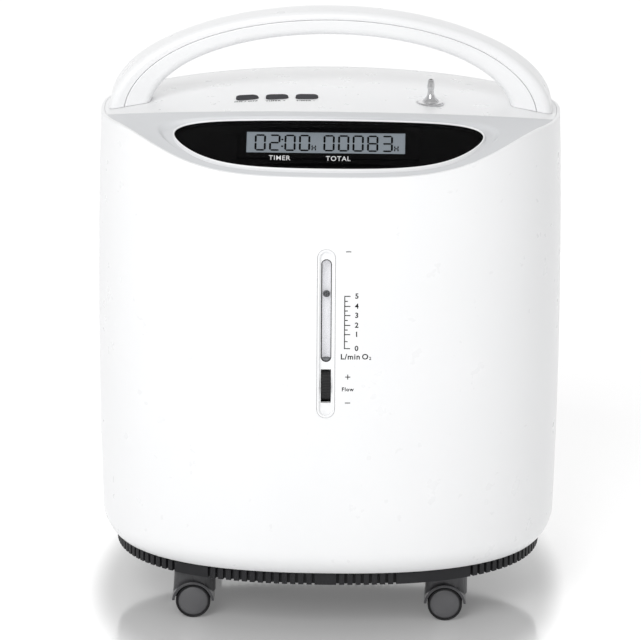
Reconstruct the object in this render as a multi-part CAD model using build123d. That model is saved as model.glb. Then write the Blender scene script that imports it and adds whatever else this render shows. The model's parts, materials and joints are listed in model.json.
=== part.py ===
from build123d import *

import math
import os

# Home oxygen concentrator on four casters: an oval, barrel-shaped white case with an arched
# handle, a bowed display fascia, a flow meter in the front, and the compressor, fan, sieve
# beds, tanks and electronics that it needs inside.
# Frame: X to the right, the front faces -Y, Z up, origin on the floor under the middle of
# the bounding box. All sizes are in millimetres.

# ---------------------------------------------------------------- driving dimensions
WIDTH = 400.0               # widest width of the case, at mid height
DEPTH = 285.0               # front to back, over everything
WIDE_Y = 12.5               # the widest plane lies this far behind the middle
OVAL_POWER = 2.4            # superellipse power of the plan outline
BARREL = 2.6                # how much the case draws in at its top and bottom
BARREL_MID_Z = 265.0
SEAM_ANGLE = math.radians(-15)  # the outline starts here, on the plain right side
BARREL_HALF_SPAN = 170.0
WALL = 3.0                  # moulded wall thickness
GAP = 0.3                   # parting gap between mouldings
CASE_BOTTOM_Z = 56.5        # lower edge of the white case
CASE_TURN_R = 28.0          # the case rounds in towards its lower edge with this radius
SPLIT_Y = 45.0              # front and rear case meet here

DOME_TOP_Z = 450.0          # highest point of the top cover
DOME_Y = -60.0              # and where it lies
DOME_R = 1200.0             # the top is part of a large sphere
COVER_EDGE_Y = -68.0        # front edge of the top cover, on the centre line
DIP_Z = 412.5               # the case edge dips to this height in front of the display
DIP_END_X = 178.0           # and is back on the dome here
DIP_POWER = 2.57

HANDLE_BASE_Z = 430.0       # centre height of the handle's three ellipses
HANDLE_OUT_X, HANDLE_OUT_Z = 190.5, 90.0
HANDLE_PART_X, HANDLE_PART_Z = 177.5, 82.8
HANDLE_IN_X, HANDLE_IN_Z = 156.0, 68.8
HANDLE_HALF_GRIP = 14.0     # half the handle's width front to back, at the grip
HANDLE_HALF_FLARE = 12.0    # how much wider it gets at its roots
HANDLE_FLARE_X = 110.0

LENS_HALF = 131.0           # half length of the bowed leaf-shaped lens
LENS_POWER = 6.7            # how full its ends are
LENS_MID_T = 0.54           # its middle, as a share of the way from cover edge to case edge
LENS_TIP_RISE = 0.02
LENS_HALF_T = 0.335
PANEL_TILT = 36.0           # slope of the display, degrees from level
PANEL_CENTRE = (0.0, -94.7, 430.0)      # middle of the display's face
LCD_SIZE = (139.0, 25.0, 3.4)

FLOW_X = 0.0
FLOW_SLOT = (15.0, 149.0)
FLOW_SLOT_Z = 275.5
TUBE_Z = (250.4, 340.6)
TUBE_Y = -132.4
FLOAT_R = 3.0
FLOAT_Z = 308.5
FLOW_WHEEL_R = 16.0
FLOW_WHEEL_Z = 228.5
FLOW_WHEEL_Y = -126.2

BUTTONS = (("power_button", -71.0, -17.5, 12.0),
           ("timer_up_button", -45.5, -19.0, 6.0),
           ("timer_down_button", -20.0, -20.0, 0.0))
BUTTON_SIZE = (19.0, 13.0)
BUTTON_TRAVEL = 1.2
OUTLET_X, OUTLET_Y = 86.0, -24.0
BOARD_Z = 430.0             # underside of the control board

CASTER_X, CASTER_Y = 109.0, 76.0
CASTER_TRAIL = 5.6
WHEEL_R = 15.0
WHEEL_WIDTH = 9.0
WEB_HALF = 6.0              # half the web between a caster's twin wheels
CASTERS = (("front_left", -1, -1), ("front_right", 1, -1),
           ("rear_left", -1, 1), ("rear_right", 1, 1))

BASE_Z = (45.0, 56.2)       # visible height of the dark skirt under the case
SKIRT_INSET = 11.5
FLOOR_Z = (50.0, 54.0)      # the base tray's floor plate
RIB_PITCH = 7.0
RIB_SLOT = 2.6
RIB_HEIGHT = 11.2           # the slots stop just under the skirt's top edge
SKIRT_PLAIN = ((-126.0, -100.0), (-9.0, 9.0), (66.0, 126.0))

FILTER_CENTRE_Z = 290.0
FILTER_SIZE = (126.0, 150.0)
FILTER_FLOOR_Y = 119.0
SERVICE_CENTRE_Z = 118.0
SERVICE_SIZE = (124.0, 50.0)
SERVICE_Y = 128.0           # flat floor of the recess for the power inlet
INLET_X = -28.0
BREAKER_X = 32.0

COMPRESSOR_X, COMPRESSOR_Y, COMPRESSOR_Z = 25.0, 5.0, 128.0
MOTOR_R = 50.0
FAN_X, FAN_Y, FAN_Z = 25.0, 5.0, 262.0
FAN_SIZE = 119.0
BED_X, BED_YS, BED_R = -122.0, (-34.0, 34.0), 29.0
TANK_X, TANK_Y, TANK_R = 142.0, 40.0, 27.0
CAPACITOR_X, CAPACITOR_Y = 142.0, -24.0
CASE_SCREWS = ((-148.0, -66.0), (148.0, -66.0), (-140.0, 76.0), (140.0, 76.0))
BOARD_SCREWS = ((-88.0, 2.0), (8.0, 2.0))
SCREW_R = 1.9
PILOT_R = 1.95


# ---------------------------------------------------------------- helpers
def block(x0, x1, y0, y1, z0, z1):
    centre = Pos((x0 + x1) / 2, (y0 + y1) / 2, (z0 + z1) / 2)
    return centre * Box(x1 - x0, y1 - y0, z1 - z0)


def rod(radius, start, end):
    line = Vector(*end) - Vector(*start)
    base = Plane(origin=start, z_dir=line)
    return base * Cylinder(radius, line.length, align=(Align.CENTER, Align.CENTER, Align.MIN))


def pipe(outer, inner, start, end):
    return rod(outer, start, end) - rod(inner, start, end)


def power(value, exponent):
    return math.copysign(abs(value) ** exponent, value)


def waist(z):
    """How far the case has drawn in at height z."""
    return BARREL * ((z - BARREL_MID_Z) / BARREL_HALF_SPAN) ** 2


def oval(inset, z, steps=48):
    """Closed plan outline of the case at height z, moved inwards by inset."""
    shrink = inset + waist(z)
    half = WIDTH / 2 - shrink
    front = DEPTH / 2 + WIDE_Y - shrink
    rear = DEPTH / 2 - WIDE_Y - shrink
    points = []
    for i in range(steps):
        angle = SEAM_ANGLE + 2 * math.pi * i / steps
        reach = rear if math.sin(angle) > 0 else front
        x = half * power(math.cos(angle), 2 / OVAL_POWER)
        y = WIDE_Y + reach * power(math.sin(angle), 2 / OVAL_POWER)
        points.append((x, y, z))
    return Wire([Edge.make_spline([Vector(*p) for p in points], periodic=True)])


def front_wall_y(x, inset, z):
    """Y of the case's front wall at x."""
    shrink = inset + waist(z)
    share = min(1.0, abs(x) / (WIDTH / 2 - shrink))
    return WIDE_Y - (DEPTH / 2 + WIDE_Y - shrink) * (1 - share ** OVAL_POWER) ** (1 / OVAL_POWER)


def barrel(inset):
    """The case's outer form, moved inwards by inset, open-ended above the dome."""
    bottom = CASE_BOTTOM_Z - 7.0 + inset
    heights = (bottom, BARREL_MID_Z, 2 * BARREL_MID_Z - bottom)
    body = Solid.make_loft([oval(inset, z) for z in heights])
    lower_edge = body.edges().sort_by(Axis.Z)[0]
    return fillet(lower_edge, CASE_TURN_R - inset)


def column(inset, z0, z1, z_of_outline=430.0):
    """A straight-sided block with the case's plan outline."""
    outline = Pos(0, 0, z0 - z_of_outline) * oval(inset, z_of_outline)
    return extrude(Face(outline), amount=z1 - z0, dir=(0, 0, 1))


def dome(drop):
    return Pos(0, DOME_Y, DOME_TOP_Z - DOME_R - drop) * Sphere(DOME_R)


def dome_z(x, y):
    return DOME_TOP_Z - DOME_R + math.sqrt(DOME_R ** 2 - x ** 2 - (y - DOME_Y) ** 2)


def cover_edge_y(x):
    """Plan curve of the joint between the top cover and the fascia."""
    return COVER_EDGE_Y + 25.0 * (x / 152.0) ** 2


def dip_z(x):
    """Height of the case's front edge: an S-curve from the dome down to the display."""
    share = min(1.0, (abs(x) / DIP_END_X) ** DIP_POWER)
    top = dome_z(DIP_END_X, front_wall_y(DIP_END_X, 0, 430))
    return DIP_Z + (top - DIP_Z) * share * share * (3 - 2 * share)


def bezier(a, b, c, d, u):
    v = 1 - u
    return a * v ** 3 + 3 * b * v * v * u + 3 * c * v * u * u + d * u ** 3


def fascia_point(x, u):
    """A point on the fascia: u runs from the cover's edge to the case's edge."""
    crown = 1 - (x / 190.0) ** 2
    share_y = bezier(0, 0.333 + 0.027 * crown, 0.667 + 0.033 * crown, 1, u)
    share_z = bezier(0, 0.333 * (1 - crown), 0.667 + 0.053 * crown, 1, u)
    y0 = cover_edge_y(x)
    y1 = front_wall_y(x, WALL + GAP, 425)
    z0 = dome_z(x, y0)
    z1 = min(dip_z(x), dome_z(x, y1))
    return (x, y0 + (y1 - y0) * share_y, z0 + (z1 - z0) * share_z)


def fascia_slab(top, thickness):
    """The fascia as a slab whose upper face lies top below the outer surface."""
    stations = 39
    rows = 9
    half = 190.0
    grid = []
    for i in range(stations):
        x = -half + 2 * half * i / (stations - 1)
        column_points = [fascia_point(x, j / (rows - 1)) for j in range(rows)]
        grid.append([Vector(px, py, pz - top) for px, py, pz in column_points])
    face = Face.make_surface_from_array_of_points(grid)
    return extrude(face, amount=thickness, dir=(0, 0, -1))


def leaf(grow, z0, z1):
    """Upright block with the lens's leaf outline in plan, grown outwards by grow."""
    steps = 48
    points = []
    for i in range(steps):
        angle = 2 * math.pi * i / steps
        along = math.cos(angle)
        x = (LENS_HALF + grow) * along
        y0 = cover_edge_y(x)
        y1 = front_wall_y(x, WALL + GAP, 425)
        middle = LENS_MID_T - LENS_TIP_RISE * (x / LENS_HALF) ** 2
        half_t = LENS_HALF_T + grow / (y0 - y1)
        fullness = math.sqrt(1 - abs(along) ** LENS_POWER)
        share = middle + half_t * math.copysign(fullness, math.sin(angle))
        points.append(Vector(x, y0 + (y1 - y0) * share, z0))
    outline = Wire([Edge.make_spline(points, periodic=True)])
    return extrude(Face(outline), amount=z1 - z0, dir=(0, 0, 1))


def stadium(width, height, x, z, y0, y1):
    """Upright slot shape in the XZ plane, running along Y."""
    plane = Plane(origin=(x, y0, z), x_dir=(1, 0, 0), z_dir=(0, 1, 0))
    return extrude(plane * SlotOverall(height, width, rotation=90), amount=y1 - y0)


def rounded_panel(width, height, radius, x, z, y0, y1):
    """Upright rectangle with round corners in the XZ plane, running along Y."""
    plane = Plane(origin=(x, y0, z), x_dir=(1, 0, 0), z_dir=(0, 1, 0))
    return extrude(plane * RectangleRounded(width, height, radius), amount=y1 - y0)


def pad(width, height, radius, x, y, turn, z0, z1):
    """Level rectangle with round corners, turned about Z."""
    plane = Plane(origin=(x, y, z0)) * Rot(0, 0, turn)
    return extrude(plane * RectangleRounded(width, height, radius), amount=z1 - z0)


def group(*solids):
    return Compound(list(solids))


# ---------------------------------------------------------------- case
def case_shell():
    """The whole white wall, before it is parted at SPLIT_Y."""
    walls = (barrel(0) & dome(0)) - barrel(WALL)
    walls -= block(-250, 250, -200, 200, 0, CASE_BOTTOM_Z)
    steps = 32
    points = []
    for i in range(steps + 1):
        x = -DIP_END_X + 2 * DIP_END_X * i / steps
        points.append((x, -200, dip_z(x)))
    edge_line = Edge.make_spline([Vector(*p) for p in points])
    above = Polyline(points[-1], (DIP_END_X, -200, 480), (-DIP_END_X, -200, 480), points[0])
    dip = extrude(Face(Wire([edge_line] + above.edges())), amount=150, dir=(0, 1, 0))
    return walls - dip


def case_boss(x, y):
    """Pillar for a screw from below, tied to the wall by a rib."""
    outer_x = math.copysign(200, x)
    rib = block(min(x, outer_x), max(x, outer_x), y - 1.5, y + 1.5, 66, 92) & barrel(1)
    pillar = rod(5, (x, y, FLOOR_Z[1] + 0.1), (x, y, 92))
    return pillar + rib - rod(PILOT_R, (x, y, 50), (x, y, 80))


def front_case(shell):
    part = shell & block(-250, 250, -200, SPLIT_Y, 0, 480)
    for x, y in CASE_SCREWS[:2]:
        part += case_boss(x, y)
    part -= stadium(FLOW_SLOT[0] + 2 * GAP, FLOW_SLOT[1] + 2 * GAP, FLOW_X, FLOW_SLOT_Z, -160, -120)
    return part


def rear_pocket(size, centre_z, floor_y):
    """Box let into the rear wall, open to the rear."""
    width, height = size
    box = rounded_panel(width + 5, height + 5, 9, 0, centre_z, floor_y - WALL, 150)
    return box - rounded_panel(width, height, 7, 0, centre_z, floor_y, 160)


def rear_case(shell):
    """Rear wall with the filter pocket and the flat recess for the power inlet."""
    part = shell & block(-250, 250, SPLIT_Y + GAP, 200, 0, 480)
    part -= rounded_panel(FILTER_SIZE[0], FILTER_SIZE[1], 7, 0, FILTER_CENTRE_Z, 100, 160)
    part -= rounded_panel(SERVICE_SIZE[0], SERVICE_SIZE[1], 7, 0, SERVICE_CENTRE_Z, 100, 160)
    pocket = rear_pocket(FILTER_SIZE, FILTER_CENTRE_Z, FILTER_FLOOR_Y)
    for i in range(9):
        z = FILTER_CENTRE_Z - 56 + 14 * i
        pocket -= rounded_panel(100, 6, 2.9, 0, z, 110, 125)
    recess = rear_pocket(SERVICE_SIZE, SERVICE_CENTRE_Z, SERVICE_Y)
    recess -= rounded_panel(28.0, 20.6, 3, INLET_X, SERVICE_CENTRE_Z, 110, 135)
    recess -= rod(6.2, (BREAKER_X, 110, SERVICE_CENTRE_Z), (BREAKER_X, 135, SERVICE_CENTRE_Z))
    part += pocket & barrel(1)
    part += recess & barrel(1)
    for x, y in CASE_SCREWS[2:]:
        part += case_boss(x, y)
    return part


def handle_ring(out_x, out_z, in_x, in_z):
    """Half ring between two ellipses, standing in the XZ plane, 80 wide along Y."""
    plane = Plane(origin=(0, WIDE_Y - 40, HANDLE_BASE_Z), x_dir=(1, 0, 0), z_dir=(0, 1, 0))
    outer = extrude(plane * Ellipse(out_x, out_z), amount=80)
    inner = extrude(plane * Ellipse(in_x, in_z), amount=80)
    return (outer - inner) & block(-250, 250, -100, 100, HANDLE_BASE_Z, 600)


def handle_half_width(x):
    flare = max(0.0, (abs(x) - HANDLE_FLARE_X) / 80.0)
    return HANDLE_HALF_GRIP + HANDLE_HALF_FLARE * flare * flare


def handle_column():
    """Upright block with the handle's plan shape: slim at the grip, flared at the roots."""
    steps = 20
    front, back = [], []
    for i in range(steps + 1):
        x = -200 + 400 * i / steps
        half = handle_half_width(x)
        front.append(Vector(x, WIDE_Y - half, 400))
        back.append(Vector(x, WIDE_Y + half, 400))
    back.reverse()
    sides = [Edge.make_spline(front), Edge.make_line(front[-1], back[0]),
             Edge.make_spline(back), Edge.make_line(back[-1], front[0])]
    return extrude(Face(Wire(sides)), amount=200, dir=(0, 0, 1))


def long_edges(part, x_half, z_half, tolerance=1.5):
    """Edges of a handle shell that run along the ellipse of the given half axes."""
    found = []
    for edge in part.edges():
        middle = edge.position_at(0.5)
        if edge.length < 150:
            continue
        share = (middle.X / x_half) ** 2 + ((middle.Z - HANDLE_BASE_Z) / z_half) ** 2
        if abs(math.sqrt(share) - 1) * z_half < tolerance:
            found.append(edge)
    return found


def handle_shells():
    """Upper and lower handle shells, parted along the middle ellipse."""
    body = handle_column()
    upper = handle_ring(HANDLE_OUT_X, HANDLE_OUT_Z, HANDLE_PART_X, HANDLE_PART_Z) & body
    lower = handle_ring(HANDLE_PART_X - GAP, HANDLE_PART_Z - GAP, HANDLE_IN_X, HANDLE_IN_Z) & body
    upper = fillet(long_edges(upper, HANDLE_OUT_X, HANDLE_OUT_Z), 6.0)
    upper = fillet(long_edges(upper, HANDLE_PART_X, HANDLE_PART_Z), 0.8)
    lower = fillet(long_edges(lower, HANDLE_IN_X, HANDLE_IN_Z), 7.0)
    lower = fillet(long_edges(lower, HANDLE_PART_X - GAP, HANDLE_PART_Z - GAP), 0.8)
    upper -= dome(-GAP)
    lower -= dome(-GAP)
    for side in (-1, 1):
        x = side * 167.5
        lower += block(x - 5, x + 5, WIDE_Y - 13, WIDE_Y + 13, 405, 446)
    return upper, lower


def top_cover():
    """Domed cover behind the fascia, with the button, outlet and handle openings."""
    part = (dome(0) - dome(WALL)) & column(WALL + GAP, 380, 480)
    steps = 20
    points = []
    for i in range(steps + 1):
        x = -205 + 410 * i / steps
        points.append(Vector(x, cover_edge_y(x) + GAP, 380))
    line = Edge.make_spline(points)
    around = Polyline(points[-1], (205, -200, 380), (-205, -200, 380), points[0])
    ahead = extrude(Face(Wire([line] + around.edges())), amount=100, dir=(0, 0, 1))
    part -= ahead
    for name, x, y, turn in BUTTONS:
        part -= pad(BUTTON_SIZE[0] + 0.7, BUTTON_SIZE[1] + 0.7, 5.3, x, y, turn, 430, 460)
    part -= rod(6.2, (OUTLET_X, OUTLET_Y, 430), (OUTLET_X, OUTLET_Y, 460))
    part -= rod(12.2, (OUTLET_X, OUTLET_Y, outlet_base()), (OUTLET_X, OUTLET_Y, 460))
    for side in (-1, 1):
        x = side * 167.5
        part -= block(x - 5.4, x + 5.4, WIDE_Y - 13.4, WIDE_Y + 13.4, 420, 460)
    for x, y in BOARD_SCREWS:
        under = dome_z(x, y) - WALL
        part += rod(4, (x, y, BOARD_Z + 1.7), (x, y, under + 1)) - rod(PILOT_R, (x, y, 425), (x, y, under))
    return part


def display_bezel():
    """Light grey fascia with the recessed seat for the lens."""
    part = fascia_slab(0, 6.0) & column(WALL + GAP, 380, 480)
    part -= leaf(0.3, 380, 480) & fascia_slab(-2, 6.1)
    part -= leaf(-3.0, 380, 480)
    return part


def display_lens():
    return fascia_slab(1.0, 2.4) & leaf(0, 380, 480)


def display_mask():
    """Black printed border under the lens, open over the display."""
    window = leaf(-5.0, 380, 480) & block(-77, 77, -150, -50, 380, 480)
    return (fascia_slab(3.5, 0.5) & leaf(-0.2, 380, 480)) - window


def panel_plane(height):
    """Plane parallel to the display's face, height above it."""
    tilt = math.radians(PANEL_TILT)
    normal = Vector(0, -math.sin(tilt), math.cos(tilt))
    return Plane(origin=Vector(*PANEL_CENTRE) + normal * height, x_dir=(1, 0, 0), z_dir=normal)


def display_tray():
    """Black surround of the display module: a flat plate with an upstanding wall."""
    plate = panel_plane(-3.2) * extrude(RectangleRounded(164, 50, 6), amount=2.0)
    wall = panel_plane(-3.2) * extrude(RectangleRounded(164, 50, 6), amount=14.0)
    wall -= panel_plane(-4.0) * extrude(RectangleRounded(161, 47, 4.5), amount=16.0)
    hole = panel_plane(-4.0) * extrude(Rectangle(LCD_SIZE[0] + 0.6, LCD_SIZE[1] + 0.6), amount=6.0)
    return (plate + wall - hole) & fascia_slab(6.3, 26)


def lcd_panel():
    return panel_plane(-LCD_SIZE[2]) * extrude(Rectangle(LCD_SIZE[0], LCD_SIZE[1]), amount=LCD_SIZE[2])


# ---------------------------------------------------------------- controls on top
def button(x, y, turn):
    """Pill-shaped cap with a retaining flange and a post for its switch."""
    surface = dome_z(x, y)
    cap = pad(BUTTON_SIZE[0], BUTTON_SIZE[1], 5.0, x, y, turn, surface - 6.0, surface + 1.4)
    cap = fillet(cap.faces().sort_by(Axis.Z)[-1].edges(), 0.6)
    flange = pad(BUTTON_SIZE[0] + 3, BUTTON_SIZE[1] + 3, 5.0, x, y, turn, surface - 6.0, surface - 4.6)
    post = rod(2.2, (x, y, surface - 10), (x, y, surface - 5))
    return cap + flange + post


def control_board():
    """Circuit board under the buttons with its switches and chips."""
    top = BOARD_Z + 1.6
    board = block(-92, 12, -44, 6, BOARD_Z, top)
    for name, x, y, turn in BUTTONS:
        plunger_top = dome_z(x, y) - 10 - BUTTON_TRAVEL - 0.4
        board += block(x - 3, x + 3, y - 3, y + 3, top, plunger_top - 1.2)
        board += rod(1.7, (x, y, top), (x, y, plunger_top))
    board += block(-64, -52, -12, 0, top, top + 2.4)
    board += block(-36, -24, -42, -34, top, top + 2.4)
    for x, y in BOARD_SCREWS:
        board -= rod(SCREW_R + 0.2, (x, y, BOARD_Z - 1), (x, y, top + 1))
    return board


def outlet_base():
    """Height of the flat seat under the outlet's flange."""
    return dome_z(OUTLET_X, OUTLET_Y) - 0.9


def oxygen_outlet():
    """Barbed metal outlet: threaded shank below the cover, flange, cone and hose barb."""
    base = outlet_base() + 0.05
    profile = [(0, -14), (5.8, -14), (5.8, 0), (11.5, 0), (11.5, 1.6), (10.6, 2.6), (7.6, 2.8),
               (6.6, 4.2), (4.2, 6.4), (3.0, 9.0), (2.6, 12.6), (3.3, 15.0), (2.9, 18.6),
               (2.35, 22.0), (0, 22.0)]
    face = Plane.XZ * make_face(Polyline(*profile, close=True))
    part = revolve(face, Axis.Z)
    part = Pos(OUTLET_X, OUTLET_Y, base) * part
    return part - rod(1.5, (OUTLET_X, OUTLET_Y, base - 20), (OUTLET_X, OUTLET_Y, base + 30))


def hex_nut(across, height, hole_r):
    ring = extrude(RegularPolygon(across / 2, 6, major_radius=False), amount=height)
    return ring - Cylinder(hole_r, 4 * height)


def outlet_nut():
    base = dome_z(OUTLET_X, OUTLET_Y) - WALL - 6.6
    return Pos(OUTLET_X, OUTLET_Y, base) * hex_nut(16, 5, 5.9)


# ---------------------------------------------------------------- flow meter
def flow_bezel():
    """White insert with a shallow round-ended recess, a tube window and a wheel slot."""
    width, height = FLOW_SLOT
    part = stadium(width, height, FLOW_X, FLOW_SLOT_Z, -150, -135.5)
    part &= barrel(0.15)
    part -= stadium(width - 3.4, height - 3.4, FLOW_X, FLOW_SLOT_Z, -150, -139.6)
    low, high = TUBE_Z
    part -= stadium(9.0, high - low + 0.8, FLOW_X, (low + high) / 2, -150, -120)
    part -= block(FLOW_X - 4.3, FLOW_X + 4.3, -150, -120, FLOW_WHEEL_Z - 15, FLOW_WHEEL_Z + 15)
    return part


def flow_tube():
    """Clear flow tube with a round bore and rounded window face."""
    low, high = TUBE_Z
    part = stadium(8.4, high - low, FLOW_X, (low + high) / 2, -139.0, -134.0)
    part += block(FLOW_X - 6.5, FLOW_X + 6.5, -135.2, -126.0, low, high)
    return part - rod(3.35, (FLOW_X, TUBE_Y, low - 5), (FLOW_X, TUBE_Y, high + 5))


def flow_float():
    return Pos(FLOW_X, TUBE_Y, FLOAT_Z) * Sphere(FLOAT_R)


def flow_tube_caps():
    """Elbow caps that seal the tube's two ends, each with a hose spigot."""
    caps = []
    for z, way in ((TUBE_Z[0], -1), (TUBE_Z[1], 1)):
        start = z + way * 0.1
        end = z + way * 5.1
        body = block(FLOW_X - 6.5, FLOW_X + 6.5, -135.2, -126.0, min(start, end), max(start, end))
        middle = z + way * 2.6
        body += rod(2.5, (FLOW_X, -126.2, middle), (FLOW_X, -114, middle))
        body -= rod(1.4, (FLOW_X, -130, middle), (FLOW_X, -110, middle))
        caps.append(body)
    return group(*caps)


def flow_wheel():
    """Ribbed thumbwheel on its valve spindle."""
    axis_y, axis_z = FLOW_WHEEL_Y, FLOW_WHEEL_Z
    wheel = rod(FLOW_WHEEL_R, (FLOW_X - 3.8, axis_y, axis_z), (FLOW_X + 3.8, axis_y, axis_z))
    ribs = 36
    for i in range(ribs):
        angle = 2 * math.pi * i / ribs
        y = axis_y + (FLOW_WHEEL_R + 0.35) * math.cos(angle)
        z = axis_z + (FLOW_WHEEL_R + 0.35) * math.sin(angle)
        wheel -= rod(0.9, (FLOW_X - 5, y, z), (FLOW_X + 5, y, z))
    return wheel + rod(2.0, (FLOW_X - 8, axis_y, axis_z), (FLOW_X + 24, axis_y, axis_z))


def flow_valve():
    """Valve body that the thumbwheel's spindle turns in, with two hose spigots."""
    x0, x1 = FLOW_X + 4.6, FLOW_X + 30
    y, z = FLOW_WHEEL_Y, FLOW_WHEEL_Z
    part = block(x0, x1, y - 9, y + 9, z - 10, z + 10)
    part += rod(2.5, (x0 + 12, y + 8, z - 5), (x0 + 12, y + 20, z - 5))
    part += rod(2.5, (x0 + 12, y, z + 9), (x0 + 12, y, z + 20))
    return part - rod(2.05, (x0 - 1, y, z), (FLOW_X + 25, y, z))


# ---------------------------------------------------------------- base and casters
def skirt_slot(x, y, nx, ny, length):
    """Cutter for one air slot through the skirt, pointing outwards along (nx, ny)."""
    plane = Plane(origin=(x, y, BASE_Z[0] - 1), x_dir=(nx, ny, 0), z_dir=(0, 0, 1))
    return plane * Pos(0, 0, length / 2) * Box(7.6, RIB_SLOT, length)


def base_tray():
    """Dark tray that everything stands on: slotted skirt, floor and caster sockets."""
    outline = Pos(0, 0, BASE_Z[0] - CASE_BOTTOM_Z) * oval(SKIRT_INSET, CASE_BOTTOM_Z)
    inside = Pos(0, 0, BASE_Z[0] - CASE_BOTTOM_Z) * oval(SKIRT_INSET + 4, CASE_BOTTOM_Z)
    height = BASE_Z[1] - BASE_Z[0]
    outer = extrude(Face(outline), amount=height, dir=(0, 0, 1))
    inner = extrude(Face(inside), amount=height + 10, dir=(0, 0, 1))
    skirt = outer - inner
    floor = Pos(0, 0, FLOOR_Z[0] - BASE_Z[0]) * extrude(
        Face(inside), amount=FLOOR_Z[1] - FLOOR_Z[0], dir=(0, 0, 1))
    rim_inside = Pos(0, 0, BASE_Z[0] - CASE_BOTTOM_Z) * oval(SKIRT_INSET + 7, CASE_BOTTOM_Z)
    rim = inner - extrude(Face(rim_inside), amount=30, dir=(0, 0, 1))
    rim &= block(-250, 250, -200, 200, FLOOR_Z[0], BASE_Z[1] + 8)
    cutters = []
    path = oval(SKIRT_INSET, CASE_BOTTOM_Z)
    count = int(path.length / RIB_PITCH)
    for i in range(count):
        share = (i + 0.5) / count
        point = path.position_at(share)
        tangent = path.tangent_at(share)
        plain = any(low < point.X < high for low, high in SKIRT_PLAIN)
        if not plain:
            cutters.append(skirt_slot(point.X, point.Y, tangent.Y, -tangent.X, RIB_HEIGHT))
    skirt -= cutters
    part = skirt + floor + rim
    for name, sx, sy in CASTERS:
        part += rod(13, (sx * CASTER_X, sy * CASTER_Y, BASE_Z[0]), (sx * CASTER_X, sy * CASTER_Y, 74))
    for name, sx, sy in CASTERS:
        part -= rod(5.6, (sx * CASTER_X, sy * CASTER_Y, BASE_Z[0] - 1), (sx * CASTER_X, sy * CASTER_Y, 70))
    for i in range(7):
        y = COMPRESSOR_Y - 27 + 9 * i
        part -= block(COMPRESSOR_X - 18, COMPRESSOR_X + 18, y - 2.5, y + 2.5, 40, 60)
    for x, y in CASE_SCREWS:
        part -= rod(SCREW_R + 0.2, (x, y, 40), (x, y, 60))
    return part


def caster_stems():
    """Steel stems: pressed up into the base, turning pin for the hood below."""
    stems = []
    for name, sx, sy in CASTERS:
        x, y = sx * CASTER_X, sy * CASTER_Y
        upper = rod(5.5, (x, y, 44.6), (x, y, 69.5))
        stems.append(upper + rod(4.0, (x, y, 26.0), (x, y, 44.6)))
    return group(*stems)


def caster_hood(sx, sy):
    """Hooded fork: a cover over the twin wheels, a web between them, a stem bore."""
    x, y = sx * CASTER_X, sy * CASTER_Y
    axle_x = x - CASTER_TRAIL
    half = WEB_HALF + WHEEL_WIDTH + 1.3
    part = rod(18.2, (axle_x, y - half, WHEEL_R), (axle_x, y + half, WHEEL_R))
    part &= block(axle_x - 30, axle_x + 30, y - 30, y + 30, WHEEL_R + 1.5, 60)
    part += rod(13.5, (x, y, 22), (x, y, 44.0))
    for side in (-1, 1):
        part -= rod(WHEEL_R + 1.0, (axle_x, y + side * WEB_HALF, WHEEL_R),
                    (axle_x, y + side * 40, WHEEL_R))
    web = rod(10.0, (axle_x, y - WEB_HALF, WHEEL_R), (axle_x, y + WEB_HALF, WHEEL_R))
    part += web
    part -= rod(4.05, (x, y, 25.5), (x, y, 45))
    part -= rod(2.02, (axle_x, y - 30, WHEEL_R), (axle_x, y + 30, WHEEL_R))
    return part


def caster_axle(sx, sy):
    x, y = sx * CASTER_X - CASTER_TRAIL, sy * CASTER_Y
    half = WEB_HALF + WHEEL_WIDTH - 1.9
    return rod(2.0, (x, y - half, WHEEL_R), (x, y + half, WHEEL_R))


def caster_wheels(sx, sy):
    """Twin wheels, each with a slightly domed closed outer face."""
    x, y = sx * CASTER_X - CASTER_TRAIL, sy * CASTER_Y
    wheels = []
    for side in (-1, 1):
        profile = [(0, 0), (WHEEL_R - 0.8, 0), (WHEEL_R, 0.8), (WHEEL_R, 7.0), (WHEEL_R - 1.2, 8.2),
                   (WHEEL_R - 3.0, 8.2), (8.0, WHEEL_WIDTH - 0.2), (0, WHEEL_WIDTH)]
        face = Plane.XZ * make_face(Polyline(*profile, close=True))
        wheel = revolve(face, Axis.Z)
        wheel -= Pos(0, 0, 3.5) * Cylinder(2.05, 8.2)
        place = Plane(origin=(x, y + side * (WEB_HALF + 0.3), WHEEL_R), z_dir=(0, side, 0))
        wheels.append(place * wheel)
    return group(*wheels)


# ---------------------------------------------------------------- rear fittings
def filter_cover():
    """Louvred air inlet cover, flush with the rear wall."""
    width, height = FILTER_SIZE
    panel = rounded_panel(width - 2 * GAP, height - 2 * GAP, 6.7, 0, FILTER_CENTRE_Z, 110, 160)
    part = (panel & barrel(0.1)) - barrel(2.6)
    for i in range(9):
        z = FILTER_CENTRE_Z - 48 + 12 * i
        part -= rounded_panel(96, 4.5, 2.2, 0, z, 110, 160)
    return part


def filter_foam():
    width, height = FILTER_SIZE
    return rounded_panel(width - 4, height - 4, 5, 0, FILTER_CENTRE_Z, 119.3, 134.5)


def power_inlet():
    """Appliance inlet: flange and body round a socket well, with three pins in it."""
    y0 = SERVICE_Y
    flange = rounded_panel(36, 27, 4, INLET_X, SERVICE_CENTRE_Z, y0 + 0.1, y0 + 3.0)
    body = rounded_panel(27.4, 20, 2.7, INLET_X, SERVICE_CENTRE_Z, y0 - 22, y0 + 1)
    well = rounded_panel(24.2, 16.6, 3.5, INLET_X, SERVICE_CENTRE_Z, y0 - 14, y0 + 5)
    parts = [flange + body - well]
    for dx, dz in ((-7, -2), (0, 2), (7, -2)):
        x, z = INLET_X + dx, SERVICE_CENTRE_Z + dz
        parts.append(block(x - 1, x + 1, y0 - 13.9, y0 - 1, z - 2, z + 2))
    return group(*parts)


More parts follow.
